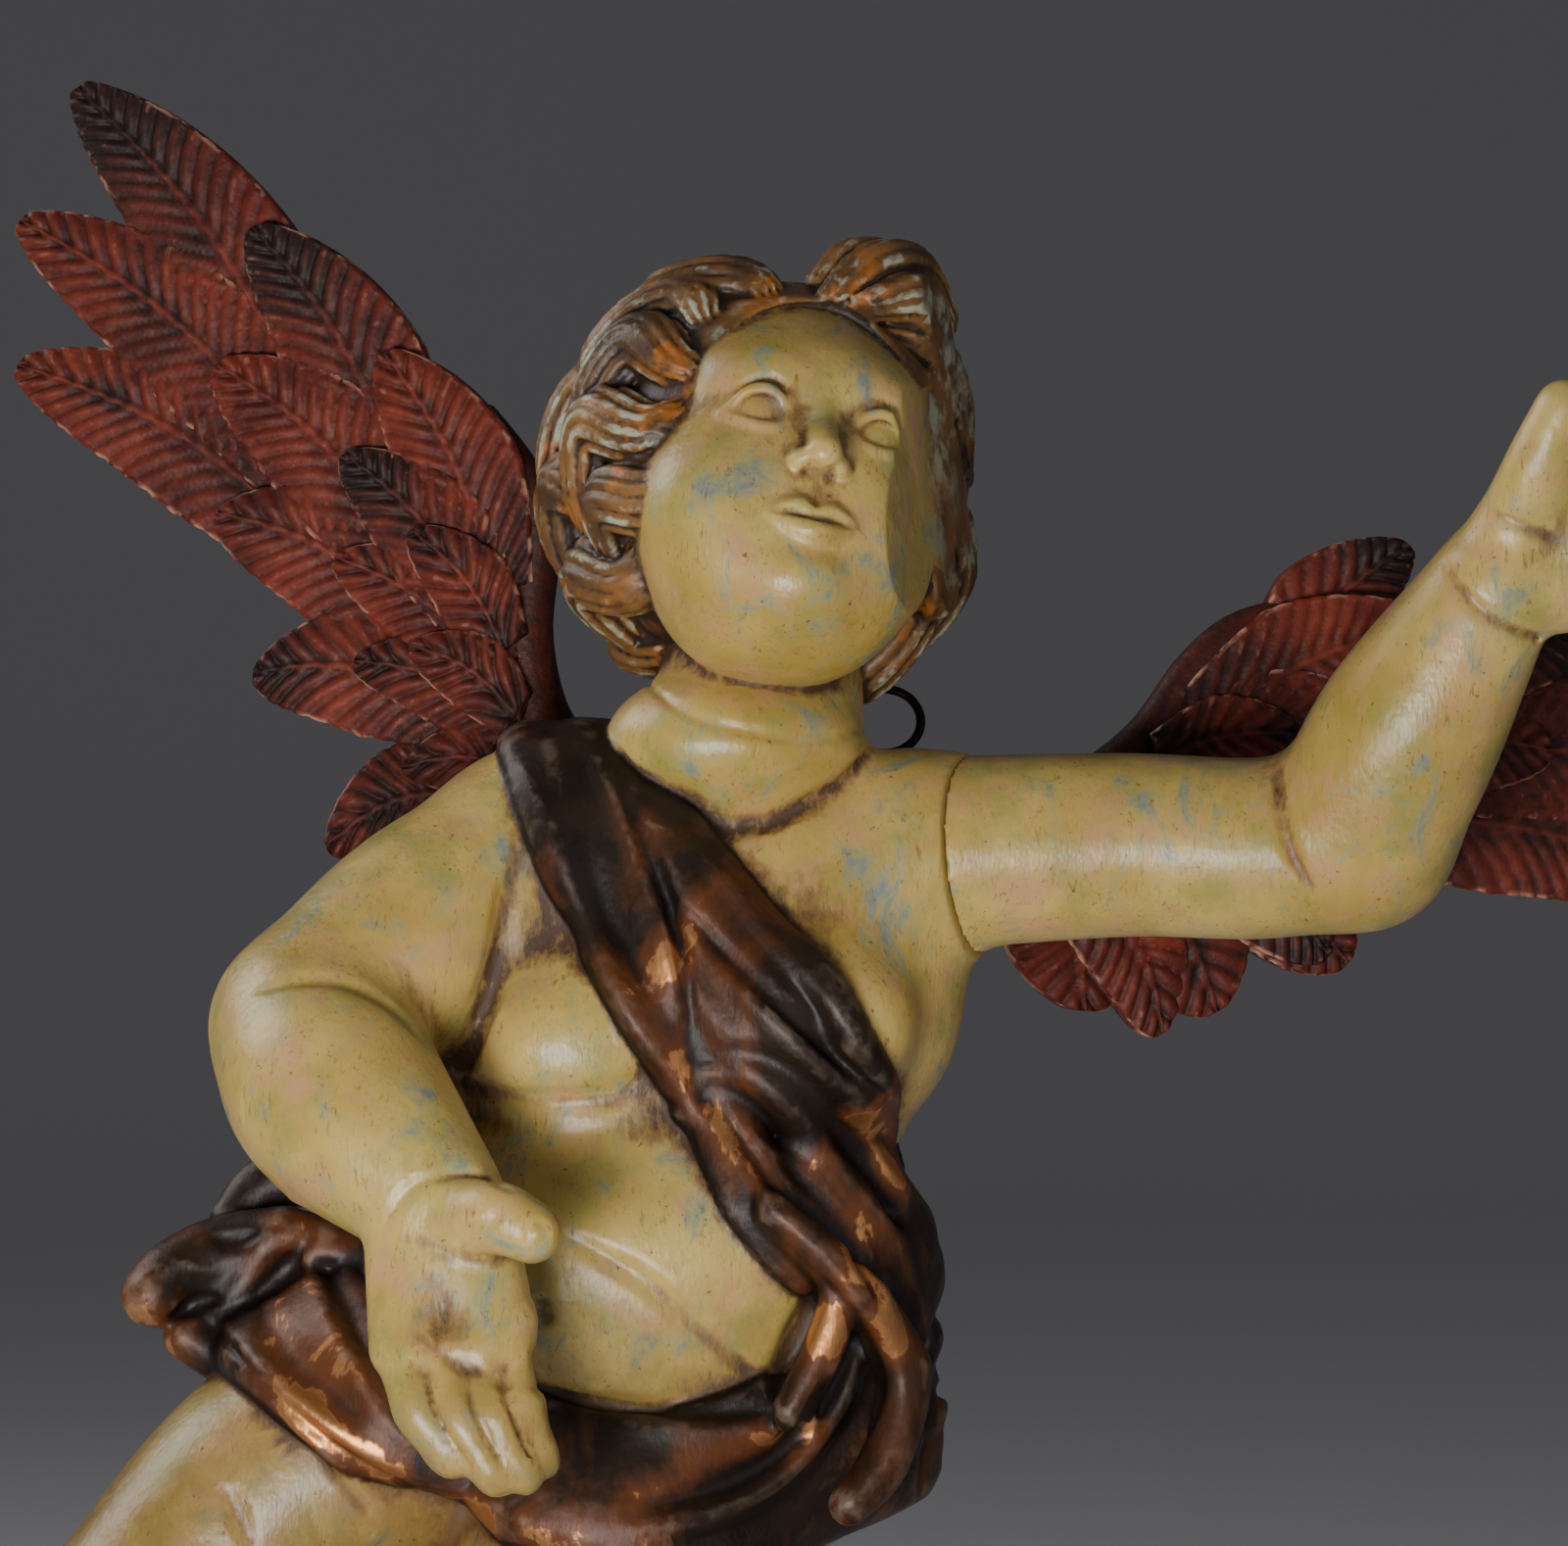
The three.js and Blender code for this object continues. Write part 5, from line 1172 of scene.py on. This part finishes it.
def flesh_colour(add, place, with_marks):
    """Ochre flesh, green and rose blotches, blue rubs, then umber glazing and painted shade in the hollows
    and streaks, and painted shade towards the bottom.
    """
    tone = add("blend", blotch(add, place, 60, 5, 0.55, 0.35, 0.65, 1), "#aa8c40", "#ceb165")
    moved = add("moved", place, (1, 1, 1), (3, 1, 2))
    tone = add("blend", blotch(add, moved, 26, 6, 0.6, 0.48, 0.66, 0.6), tone, "#87883f")
    moved = add("moved", place, (1, 1, 1), (7, 5, 1))
    tone = add("blend", blotch(add, moved, 20, 7, 0.66, 0.5, 0.66, 0.7), tone, "#c1906a")
    moved = add("moved", place, (1.3, 1.3, 0.9), (1, 9, 4))
    rubs = add("noise", moved, 1000 / 27, 9, 0.72, 0.5)
    tone = add("blend", add("range", rubs, 0.53, 0.62, 0, 0.6), tone, "#8a9876")
    tone = add("blend", add("range", rubs, 0.59, 0.67, 0, 0.75), tone, "#6a7c80")
    streak = add("noise", add("moved", place, (1, 1, 0.25)), 1000 / 2.4, 6, 0.75, 0.4)
    broad = add("noise", add("moved", place, (1, 1, 0.7), (2, 2, 8)), 1000 / 10, 6, 0.7, 0.5)
    fine, middle, wide, line = (
        add("mark", attribute_name=name) for name in ("fine_hollow", "hollow", "wide_hollow", "line")
    )
    # Umber glazing and painted shade: the fine, middle and wide hollows and the drawn lines are darkened.
    wash_and_shade = add("plus", add("plus", add("times", fine, 0.2), middle), add("times", wide, 0.75))
    wash_and_shade = add("plus", wash_and_shade, add("times", line, 0.55))
    if with_marks:
        # Painted shade beside the cloth and the hair.
        near = add("most", add("mark", attribute_name="by_cloth"), add("mark", attribute_name="by_hair"))
        wash_and_shade = add("plus", wash_and_shade, add("times", near, 0.42))
    wash_and_shade = add("times", wash_and_shade, add("range", broad, 0.34, 0.62, 0.4, 1.2))
    torn = add("times", add("range", streak, 0.3, 0.7, -1, 1), add("range", wash_and_shade, 0, 1.6, 0.3, 0.9))
    wash_and_shade = add("plus", add("plus", wash_and_shade, torn), add("range", broad, 0.3, 0.7, -0.15, 0.15))
    # Painted shade with umber glazing: a lighter umber, then a near-black brown where the share is high.
    glaze_and_shade = add("range", wash_and_shade, 0.2, 2.3, 0, 0.93)
    tone = add("blend", add("range", wash_and_shade, -0.1, 0.9, 0, 0.55), tone, "#93683c")
    tone = add("blend", glaze_and_shade, tone, "#3a2218")
    moved = add("moved", place, (1, 1, 0.16), (4, 4, 1))
    scratch = blotch(add, moved, 1.5, 4, 0.7, 0.56, 0.66, 0.7, twist=0.8)
    scratch = add("times", scratch, add("range", broad, 0.42, 0.58))
    tone = add("blend", scratch, tone, "#6b4426")
    # Painted shade: the flesh turns darker towards the bottom of the figure, from 0.33 m down to 0.24 m.
    low_shade = add("plus", add("height", place), add("range", broad, 0.3, 0.7, -0.03, 0.03))
    tone = add("blend", add("range", low_shade, 0.33, 0.24, 0, 0.62), tone, "#6b4c24")
    tone = add("blend", blotch(add, place, 2.4, 2, 0.55, 0.7, 0.74, 0.7), tone, "#4d331f")
    return tone, glaze_and_shade


def leaf_colour(add, place):
    """Dark bole, copper leaf in patches on the heights, rust round them, painted shade in the hollows and a
    painted highlight on sharp crests.
    """
    fine, hollow, wide, gilt = (
        add("mark", attribute_name=name) for name in ("fine_hollow", "hollow", "wide_hollow", "gilt")
    )
    moved = add("moved", place, (1, 1, 0.6), (0.01, 0.02, 0.03))
    height = add("plus", add("noise", moved, 1000 / 50, 8, 0.6, 0.6), add("times", gilt, 0.19))
    height = add("plus", height, add("range", hollow, -2.0, 2.0, 0.04, -0.06))
    rust = add("range", height, 0.5, 0.66)
    leaf = add("range", height, 0.665, 0.69)
    tone = add("blend", blotch(add, place, 20, 4, 0.55, 0.35, 0.7, 1), "#1a110b", "#302014")
    tone = add("blend", add("times", rust, 0.8), tone, "#6b3a1a")
    tone = add("blend", leaf, tone, "#d0925c")
    # Painted shade: near-black in the fold hollows.
    dark = add("plus", hollow, add("times", wide, 0.4))
    tone = add("blend", add("range", dark, 0.0, 1.3, 0, 0.9), tone, "#120c09")
    # Painted highlight: a pale colour in patches along the sharp crests.
    edge = add("range", fine, -0.8, -1.8, 0, 0.2)
    edge = add("times", edge, blotch(add, place, 6, 4, 0.55, 0.42, 0.6, 1))
    return add("blend", edge, tone, "#b09a84"), leaf


def hair_colour(add, place):
    """Brown ochre, orange where rubbed, painted shade in the hollows, a pale green-white painted highlight on
    the strand crests.
    """
    fine, hollow = (add("mark", attribute_name=name) for name in ("fine_hollow", "hollow"))
    tone = add("blend", blotch(add, place, 24, 4, 0.55, 0.35, 0.65, 1), "#4a331c", "#855d2c")
    moved = add("moved", place, (1, 1, 1), (4, 4, 8))
    tone = add("blend", blotch(add, moved, 28, 5, 0.6, 0.54, 0.62, 0.85), tone, "#a3601e")
    # Painted shade: near-black brown in the hollows between locks and strands.
    dark = add("plus", hollow, add("times", fine, 0.5))
    tone = add("blend", add("range", dark, 0.0, 1.0, 0, 0.92), tone, "#21150d")
    moved = add("moved", place, (1, 1, 1), (9, 2, 6))
    # Painted highlight: pale green-white in patches on the strand crests.
    crest_highlight = add("times", add("range", fine, -0.35, -1.1), blotch(add, moved, 18, 6, 0.65, 0.5, 0.6, 1))
    return add("blend", add("times", crest_highlight, 0.7), tone, "#b4bda6")


def figure_paint(name, with_marks):
    """The figure's shader; the raised arm has flesh alone."""
    material, add, output = new_material(name)
    place = add("place")
    tone, wash_and_shade = flesh_colour(add, place, with_marks)
    grain = add("noise", add("moved", place, (1, 1, 0.35)), 1000 / 1.6, 5, 0.65)
    lump = add("noise", place, 1000 / 12, 3, 0.55)
    rough = add("range", add("plus", wash_and_shade, add("range", lump, 0.3, 0.7, 0, 0.3)), 0, 1.3, 0.28, 0.7)
    bump = add("bump", lump, 0.5, 0.0012, add("bump", grain, 0.4, 0.0005))
    surface = add("surface", tone, rough, 0.0, bump)
    if with_marks:
        tone, leaf = leaf_colour(add, place)
        rough, metal = add("range", leaf, 0, 1, 0.45, 0.4), add("range", leaf, 0, 1, 0.1, 0.9)
        cloth_surface = add("surface", tone, rough, metal, bump, 0.35)
        hair_surface = add("surface", hair_colour(add, place), 0.46, 0.0, bump)
        surface = add("mix", add("mark", attribute_name="hair"), surface, hair_surface)
        surface = add("mix", add("mark", attribute_name="cloth"), surface, cloth_surface)
    material.node_tree.links.new(surface, output)
    return material


whole_paint = figure_paint("painted_gilded_limewood", True)
piece_of("carved_figure", figure_mesh, ["figure"], whole_paint)
piece_of("raised_arm", arm_mesh, ["left_arm"], figure_paint("painted_limewood", False))

# %% [markdown]
# ## Wings
# Each wing is a carved board with four rows of feathers that overlap like tiles. A feather is a crowned leaf
# with a sunk quill and slanting barbs, so it is worked out as a grid: s along it, c across it. The board's
# front edge is a rope of distances, like the figure.
# %% One feather
BARB_PITCH, BARB_DEPTH, CROWN = 7.8, 1.9, 7.2
ALONG, ACROSS = 116, 29


def feather(root, tip, width, bend, level, shade):
    """Grid of one feather.

    Half width (w / 2) min(1, 0.62 + 0.9 s) (1 - s ** 2.8) ** 0.6.
    Crown 0.5 + 0.5 sqrt(1 - 0.8 c c), with a valley exp(-(c / 0.24) ** 2) along the quill.
    Barbs |sin(pi u)| ** 0.7, where u = (length s - 1.15 |c| half) / pitch, bent a little.
    """
    root, tip = np.array([root[0], 0, root[1]], float), np.array([tip[0], 0, tip[1]], float)
    along = tip - root
    length = np.linalg.norm(along)
    side = np.array([along[2], 0, -along[0]]) / length
    s = 0.985 * np.sin(np.pi / 2 * np.linspace(0, 1, ALONG) ** 0.92)
    c = np.linspace(-1, 1, ACROSS)
    half = width / 2 * np.minimum(1, 0.62 + 0.9 * s) * (1 - s**2.8) ** 0.6
    away = np.abs(c) * half[:, None]
    wander = 2.2 * np.sin(9 * s[:, None] + 5 * shade) + 1.2 * np.sign(c)
    u = (s[:, None] * length - 1.15 * away + 0.012 * away**2 + wander) / BARB_PITCH
    barb = np.abs(np.sin(np.pi * u)) ** 0.7
    edge = 1 + 0.035 * (barb[:, [0, -1]] - 0.5)
    reach = c * half[:, None] * np.where(np.abs(c) > 0.99, np.where(c > 0, edge[:, 1:], edge[:, :1]), 1)
    centre = root + s[:, None] * along + bend * np.sin(np.pi * s)[:, None] * side
    quill = np.exp(-np.square(c / 0.055))
    valley = np.exp(-np.square(c / 0.24))
    dome = 0.5 + 0.5 * np.sqrt(1 - 0.8 * c * c)
    fade = np.minimum(1, 5 * (1 - np.abs(c)) + 0.35) * (1 - quill)
    height = level + CROWN * dome + 1.0 - BARB_DEPTH * (1 - barb) * fade
    height = height - (2.3 * valley - 1.3 * quill) * (1 - 0.5 * s[:, None])
    front = centre[:, None, :] + reach[..., None] * side
    front[..., 1] = -height
    back = centre[:, None, :] + np.stack([half, -half], 1)[..., None] * side
    back[..., 1] = 3 - level
    ring = np.concatenate([front, back], 1)
    groove = np.concatenate([(1 - barb) * fade + 0.8 * valley - 0.8 * quill, np.zeros((ALONG, 2))], 1)
    across = np.append(c, [1, -1]) + 0 * groove
    marks = np.stack([groove, s[:, None] + 0 * groove, across, shade + 0 * groove], -1)
    n = ACROSS + 2
    i, j = np.meshgrid(np.arange(ALONG - 1), np.arange(n), indexing="ij")
    nxt = (j + 1) % n
    quads = np.stack([i * n + j, i * n + nxt, (i + 1) * n + nxt, (i + 1) * n + j], -1).reshape(-1, 4)
    k = np.arange(1, n - 2, 2)
    cap = np.stack([0 * k, k, k + 1, k + 2], 1)
    faces = np.concatenate([quads, cap[:, ::-1], cap + (ALONG - 1) * n])
    return ring.reshape(-1, 3), faces, marks.reshape(-1, 4)


print("a feather has", ALONG * (ACROSS + 2), "points")

# %% Rows of feathers
FEATHER_ROWS = (
    (3, 0, 9, (48, 46, 46), ((-164, 226), (-183, 184), (-184, 138)), ((-84, 112), (-84, 98), (-80, 74))),
    (5, 5, 8, (46, 46, 36), ((-104, 180), (-116, 90), (-80, -15)), ((-54, 88), (-48, 50), (-26, 0))),
    (5, 10, 6, (42, 34, 26), ((-60, 140), (-76, 76), (-54, 10)), ((-24, 62), (-22, 36), (-8, 4))),
    (3, 14, 4, (28, 26, 22), ((-50, 84), (-50, 48), (-28, 12)), ((-20, 46), (-16, 26), (-6, 4))),
)
LEFT_FEATHERS = (
    ((-24, 16), (-57, -26), 56, -3, 3, 0.2),
    ((-34, 22), (-89, 2), 50, 3, 4, 0.3),
    ((-55, 42), (-111, 42), 46, 3, 3, 0.5),
    ((-34, 90), (-38, 154), 36, 5, 3, 0.95),
)
TIP_SOOT = ((1.0, 0.35, 0.1), (0.95, 0.05, 0.35, 0.8, 0.4), (0.15, 0.9, 0.2, 0.7, 0.5), (0.6, 0.3, 0.7))
LEADING_EDGE = [(8, 0, -6), (-10, 0, 22), (-16, 0, 50), (-13, 0, 78), (-16, 0, 98), (-30, 0, 118)]
TENON = np.array([22.0, 44.0, 30.0])
BOX_FACES = ((0, 1, 3, 2), (4, 6, 7, 5), (0, 4, 5, 1), (2, 3, 7, 6), (0, 2, 6, 4), (1, 5, 7, 3))


def through(three, t):
    """Parabola through three values at t = 0, 1/2 and 1."""
    a, b, c = np.array(three, float)
    return a + (4 * b - 3 * a - c) * t + (2 * a + 2 * c - 4 * b) * t * t


def wing_board():
    """The board behind the feathers: a thick leading edge, two ribs and a foot, cut flat at the back."""
    low, high = (np.array(v) * WING_UNIT for v in ((-112, -30, -66), (56, 18, 168)))
    board = Wood([np.arange(a, b, 1.7) for a, b in zip(low, high)])
    for path, radii in (
        ([(6, -4, -2), (-30, -4, 40), (-60, -4, 90)], (9, 10, 8)),
        ([(-4, -4, 6), (28, -4, -34)], (16, 17)),
        ([(0, -4, -4), (-40, -4, 16), (-80, -4, 60)], (9, 9, 7)),
    ):
        board.rope(np.array(path) * WING_UNIT, radii, 10, reach=20)
    _, by, _ = board.places()
    board.d = np.maximum(board.d, np.maximum(-by - 12, by - 4)).astype(REAL)
    edge = curve(np.array(LEADING_EDGE, float) * WING_UNIT, 22) + (0, -6, 0)
    board.rope(edge, 9 * 0.85 * (1.5 - 0.7 * np.linspace(0, 1, 22)), 6, reach=16)
    return skin_of(board)


def wing_mesh(side):
    """Board, rows of feathers and tenon, with what the paint needs at each point."""
    laid = []
    for (count, level, bend, widths, tips, roots), soots in zip(FEATHER_ROWS, TIP_SOOT):
        for i in range(count):
            spots = (through(values, i / (count - 1)) for values in (roots, tips, widths))
            laid.append((*spots, bend, level + 0.6 * (i % 2), soots[i]))
    if side == "left":
        laid.extend(LEFT_FEATHERS)
    parts = [wing_board()]
    # The board is marked as lying in a groove near the roots, so the paint gives it painted shade.
    marks = [np.tile([0.25, 0.1, 0.5, 0.0], (len(parts[0][0]), 1))]
    for *measures, level, soot in laid:
        points, faces, values = feather(*(np.array(m) * WING_UNIT for m in measures), level, soot)
        parts.append((points, faces))
        marks.append(values)
    turn, (place, _, sign) = wing_turn(side), WINGS[side]
    middle = turn @ FOOT + place - (0, TENON[1] / 2, 0)
    corners = np.array([(i, j, k) for i in (-0.5, 0.5) for j in (-0.5, 0.5) for k in (-0.5, 0.5)]) * TENON
    parts.append(((corners + middle - place) @ turn, np.array(BOX_FACES)[:, ::sign]))
    marks.append(np.tile([0.0, 0.5, 0.0, 0.0], (8, 1)))
    starts = np.cumsum([0] + [len(p) for p, _ in parts])
    points = np.concatenate([p for p, _ in parts])
    faces = np.concatenate([f + start for (_, f), start in zip(parts, starts)])
    mesh = mesh_of(side + "_wing_feathers", points @ turn.T + place, faces if sign > 0 else faces[:, ::-1])
    for name, values in zip(("groove", "along", "across", "soot"), np.concatenate(marks).T):
        mark(mesh, name, values)
    return mesh


print("feathers", sum(row[0] for row in FEATHER_ROWS), "and", len(LEFT_FEATHERS), "more on the left")

# %% [markdown]
# The wings are brick red, glazed black-brown from the quill outwards on some feathers and at the tips, and
# the red ground shows pale where edges are rubbed. Painted shade darkens the grooves between the barbs, the
# quill's valley, the roots of the feathers under the row above, and the board behind them.
# %% Wing paint
def wing_paint():
    """Two reds, painted shade along grooves and at roots, black-brown glazing at tips and in clouds, pale red
    at rubbed edges.
    """
    material, add, output = new_material("oxblood_wing_paint")
    place = add("place")
    along, groove, across, soot = (
        add("mark", attribute_name=name) for name in ("along", "groove", "across", "soot")
    )
    tone = add("blend", blotch(add, place, 30, 4, 0.55, 0.35, 0.65, 1), "#521a11", "#7e3120")
    moved = add("moved", place, (1, 1, 1), (1, 7, 3))
    tone = add("blend", blotch(add, moved, 9, 5, 0.6, 0.5, 0.7, 0.5), tone, "#8e4530")
    streak = add("noise", place, 1000 / 4, 5, 0.65)
    # Painted shade at each feather's root, where it runs under the row above.
    root = add("range", along, 0.05, 0.62, 0.75, 0.0)
    tip = add("times", add("range", along, 0.5, 0.86), soot)
    smoke = blotch(add, add("moved", place, (1, 1, 1), (2, 6, 3)), 40, 4, 0.6, 0.46, 0.7, 0.75)
    # Painted shade along the barb grooves and the quill's valley, added to the streaks, the painted shade at
    # the roots, and the black-brown glazing at the tips and in clouds.
    dark = add("plus", add("times", groove, 0.5), add("range", streak, 0.3, 0.7, -0.2, 0.2))
    dark = add("plus", dark, add("most", root, add("most", tip, smoke)))
    tone = add("blend", add("range", dark, 0.15, 1.0, 0, 0.94), tone, "#1d1512")
    edge = add("range", add("unsigned", across), 0.93, 1.0)
    chip = add("times", edge, blotch(add, place, 9, 4, 0.55, 0.5, 0.6, 1))
    ridge = add("range", groove, 0.12, -0.05)
    rubbed = add("times", ridge, blotch(add, place, 6, 4, 0.55, 0.58, 0.7, 0.5))
    tone = add("blend", add("most", chip, rubbed), tone, "#c08a72")
    bump = add("bump", add("noise", place, 1000 / 2, 4, 0.55), 0.5, 0.0007)
    rough = add("range", streak, 0.3, 0.7, 0.45, 0.62)
    material.node_tree.links.new(add("surface", tone, rough, 0.0, bump, 0.25), output)
    return material


feather_paint = wing_paint()
for side in WINGS:
    piece_of(side + "_wing_feathers", wing_mesh(side), [side + "_wing"], feather_paint)

# %% [markdown]
# ## Base and ring
# The base is a low turned oval of stained wood, and the ring behind the neck is bent from iron wire. Each
# keeps its solid's size, as a profile carried round an axis or a bend.
# %% Base
ROUND = 144


def base_mesh():
    """Profile r(h) carried round an ellipse, with a bead and a hollow cut round its side."""
    half_x, half_y = (base_high[0] - base_low[0]) * 500, (base_high[1] - base_low[1]) * 500
    top = base_high[2] * 1000
    turn = np.linspace(0, np.pi / 2, 8)
    bead = np.linspace(0, 1, 22)
    h = np.concatenate([[0.0, 0.0, 1.2], 2 + 22.5 * bead, top - 9 + 9 * np.sin(turn), [top]])
    beads = 2.6 * np.abs(np.sin(2 * np.pi * bead)) * (bead > 0.2) * (bead < 0.9)
    side_in = np.concatenate([[half_y, 1.5, 0.0], beads, 9 - 9 * np.cos(turn), [half_y]])
    a = np.linspace(0, 2 * np.pi, ROUND, endpoint=False)
    shrink = (half_y - side_in)[None, :] / half_y
    x = half_x * np.cos(a)[:, None] * shrink
    y = half_y * np.sin(a)[:, None] * shrink
    points = np.stack([x, y, np.broadcast_to(h, x.shape)], -1).reshape(-1, 3)
    n = len(h)
    i, j = np.meshgrid(np.arange(ROUND), np.arange(n - 1), indexing="ij")
    nxt = (i + 1) % ROUND
    faces = np.stack([i * n + j, nxt * n + j, nxt * n + j + 1, i * n + j + 1], -1).reshape(-1, 4)
    return points - FIGURE_ORIGIN, faces


points, faces = base_mesh()
mesh = mesh_of("oval_base", points, faces)
work = bmesh.new()
work.from_mesh(mesh)
bmesh.ops.remove_doubles(work, verts=work.verts, dist=1e-6)
work.to_mesh(mesh)
work.free()
print("base", len(mesh.vertices), "points")


def stain():
    """Dark brown stain, darker along the grain and rubbed lighter in places."""
    material, add, output = new_material("waxed_dark_stain")
    place = add("place")
    grain = add("noise", add("moved", place, (0.12, 1, 1)), 1000 / 9, 6, 0.6)
    tone = add("blend", add("range", grain, 0.35, 0.65), "#2b1a11", "#553320")
    tone = add("blend", blotch(add, place, 30, 5, 0.55, 0.6, 0.7, 0.5), tone, "#7a4f2c")
    rough = add("range", grain, 0.3, 0.7, 0.38, 0.52)
    surface = add("surface", tone, rough, 0.0, add("bump", grain, 0.4, 0.0006))
    material.node_tree.links.new(surface, output)
    return material


piece_of("oval_base", mesh, ["base"], stain())


# %% Ring
def iron():
    """Near-black iron with rust in small spots."""
    material, add, output = new_material("rusted_iron_wire")
    rust = blotch(add, add("place"), 3, 4, 0.55, 0.5, 0.65, 1)
    surface = add("surface", add("blend", rust, "#22201f", "#4a2c1c"), 0.5, 1.0)
    material.node_tree.links.new(surface, output)
    return material


RING_CENTRE, RING_RADIUS, WIRE_RADIUS, RING_SHANK = (71.0, 40.0, 473.0), 12.5, 1.6, 14.0
RING_LEAN = np.radians(62)
HOOP_STEPS, SHANK_STEPS, WIRE_SIDES = 64, 8, 12


def tube(centres, normals, sideways, radii):
    """Circles of the wire in the plane of normal and sideways, at each centre."""
    a = np.linspace(0, 2 * np.pi, WIRE_SIDES, endpoint=False)
    rings = np.cos(a)[None, :, None] * normals[:, None] + np.sin(a)[None, :, None] * sideways[:, None]
    return centres[:, None] + np.reshape(radii, (-1, 1, 1)) * rings


def tube_faces(stretches, steps, outwards):
    """Four-sided faces along a tube: from each circle to the next, round again if it closes."""
    i, j = np.meshgrid(np.arange(stretches), np.arange(WIRE_SIDES), indexing="ij")
    a, b = (i + 1) % steps, (j + 1) % WIRE_SIDES
    n = WIRE_SIDES
    ring = np.stack([i * n + j, a * n + j, a * n + b, i * n + b], -1).reshape(-1, 4)
    return ring if outwards else ring[:, ::-1]


def ring_mesh():
    """A torus, and a shank that runs forward into the neck and closes with a point inside each end."""
    turn = np.linspace(0, 2 * np.pi, HOOP_STEPS, endpoint=False)
    out = np.stack([np.cos(turn), np.sin(turn), 0 * turn], 1)
    up = np.broadcast_to((0.0, 0.0, 1.0), out.shape)
    hoop = tube(RING_RADIUS * out, out, up, WIRE_RADIUS)
    steps = np.linspace(0, RING_SHANK, SHANK_STEPS)
    down = np.stack([0 * steps, -RING_RADIUS - steps, 0 * steps], 1)
    flat, up = (np.broadcast_to(axis, down.shape) for axis in ((1.0, 0.0, 0.0), (0.0, 0.0, 1.0)))
    shank = tube(down, flat, up, WIRE_RADIUS * np.where((steps == 0) | (steps == RING_SHANK), 0.01, 1.0))
    points = np.concatenate([hoop.reshape(-1, 3), shank.reshape(-1, 3)])
    points = points @ turned(0, RING_LEAN).T + RING_CENTRE
    shank_faces = tube_faces(SHANK_STEPS - 1, SHANK_STEPS, False) + HOOP_STEPS * WIRE_SIDES
    faces = np.concatenate([tube_faces(HOOP_STEPS, HOOP_STEPS, True), shank_faces])
    return mesh_of("neck_ring", points, faces)


piece_of("neck_ring", ring_mesh(), ["back_ring"], iron())
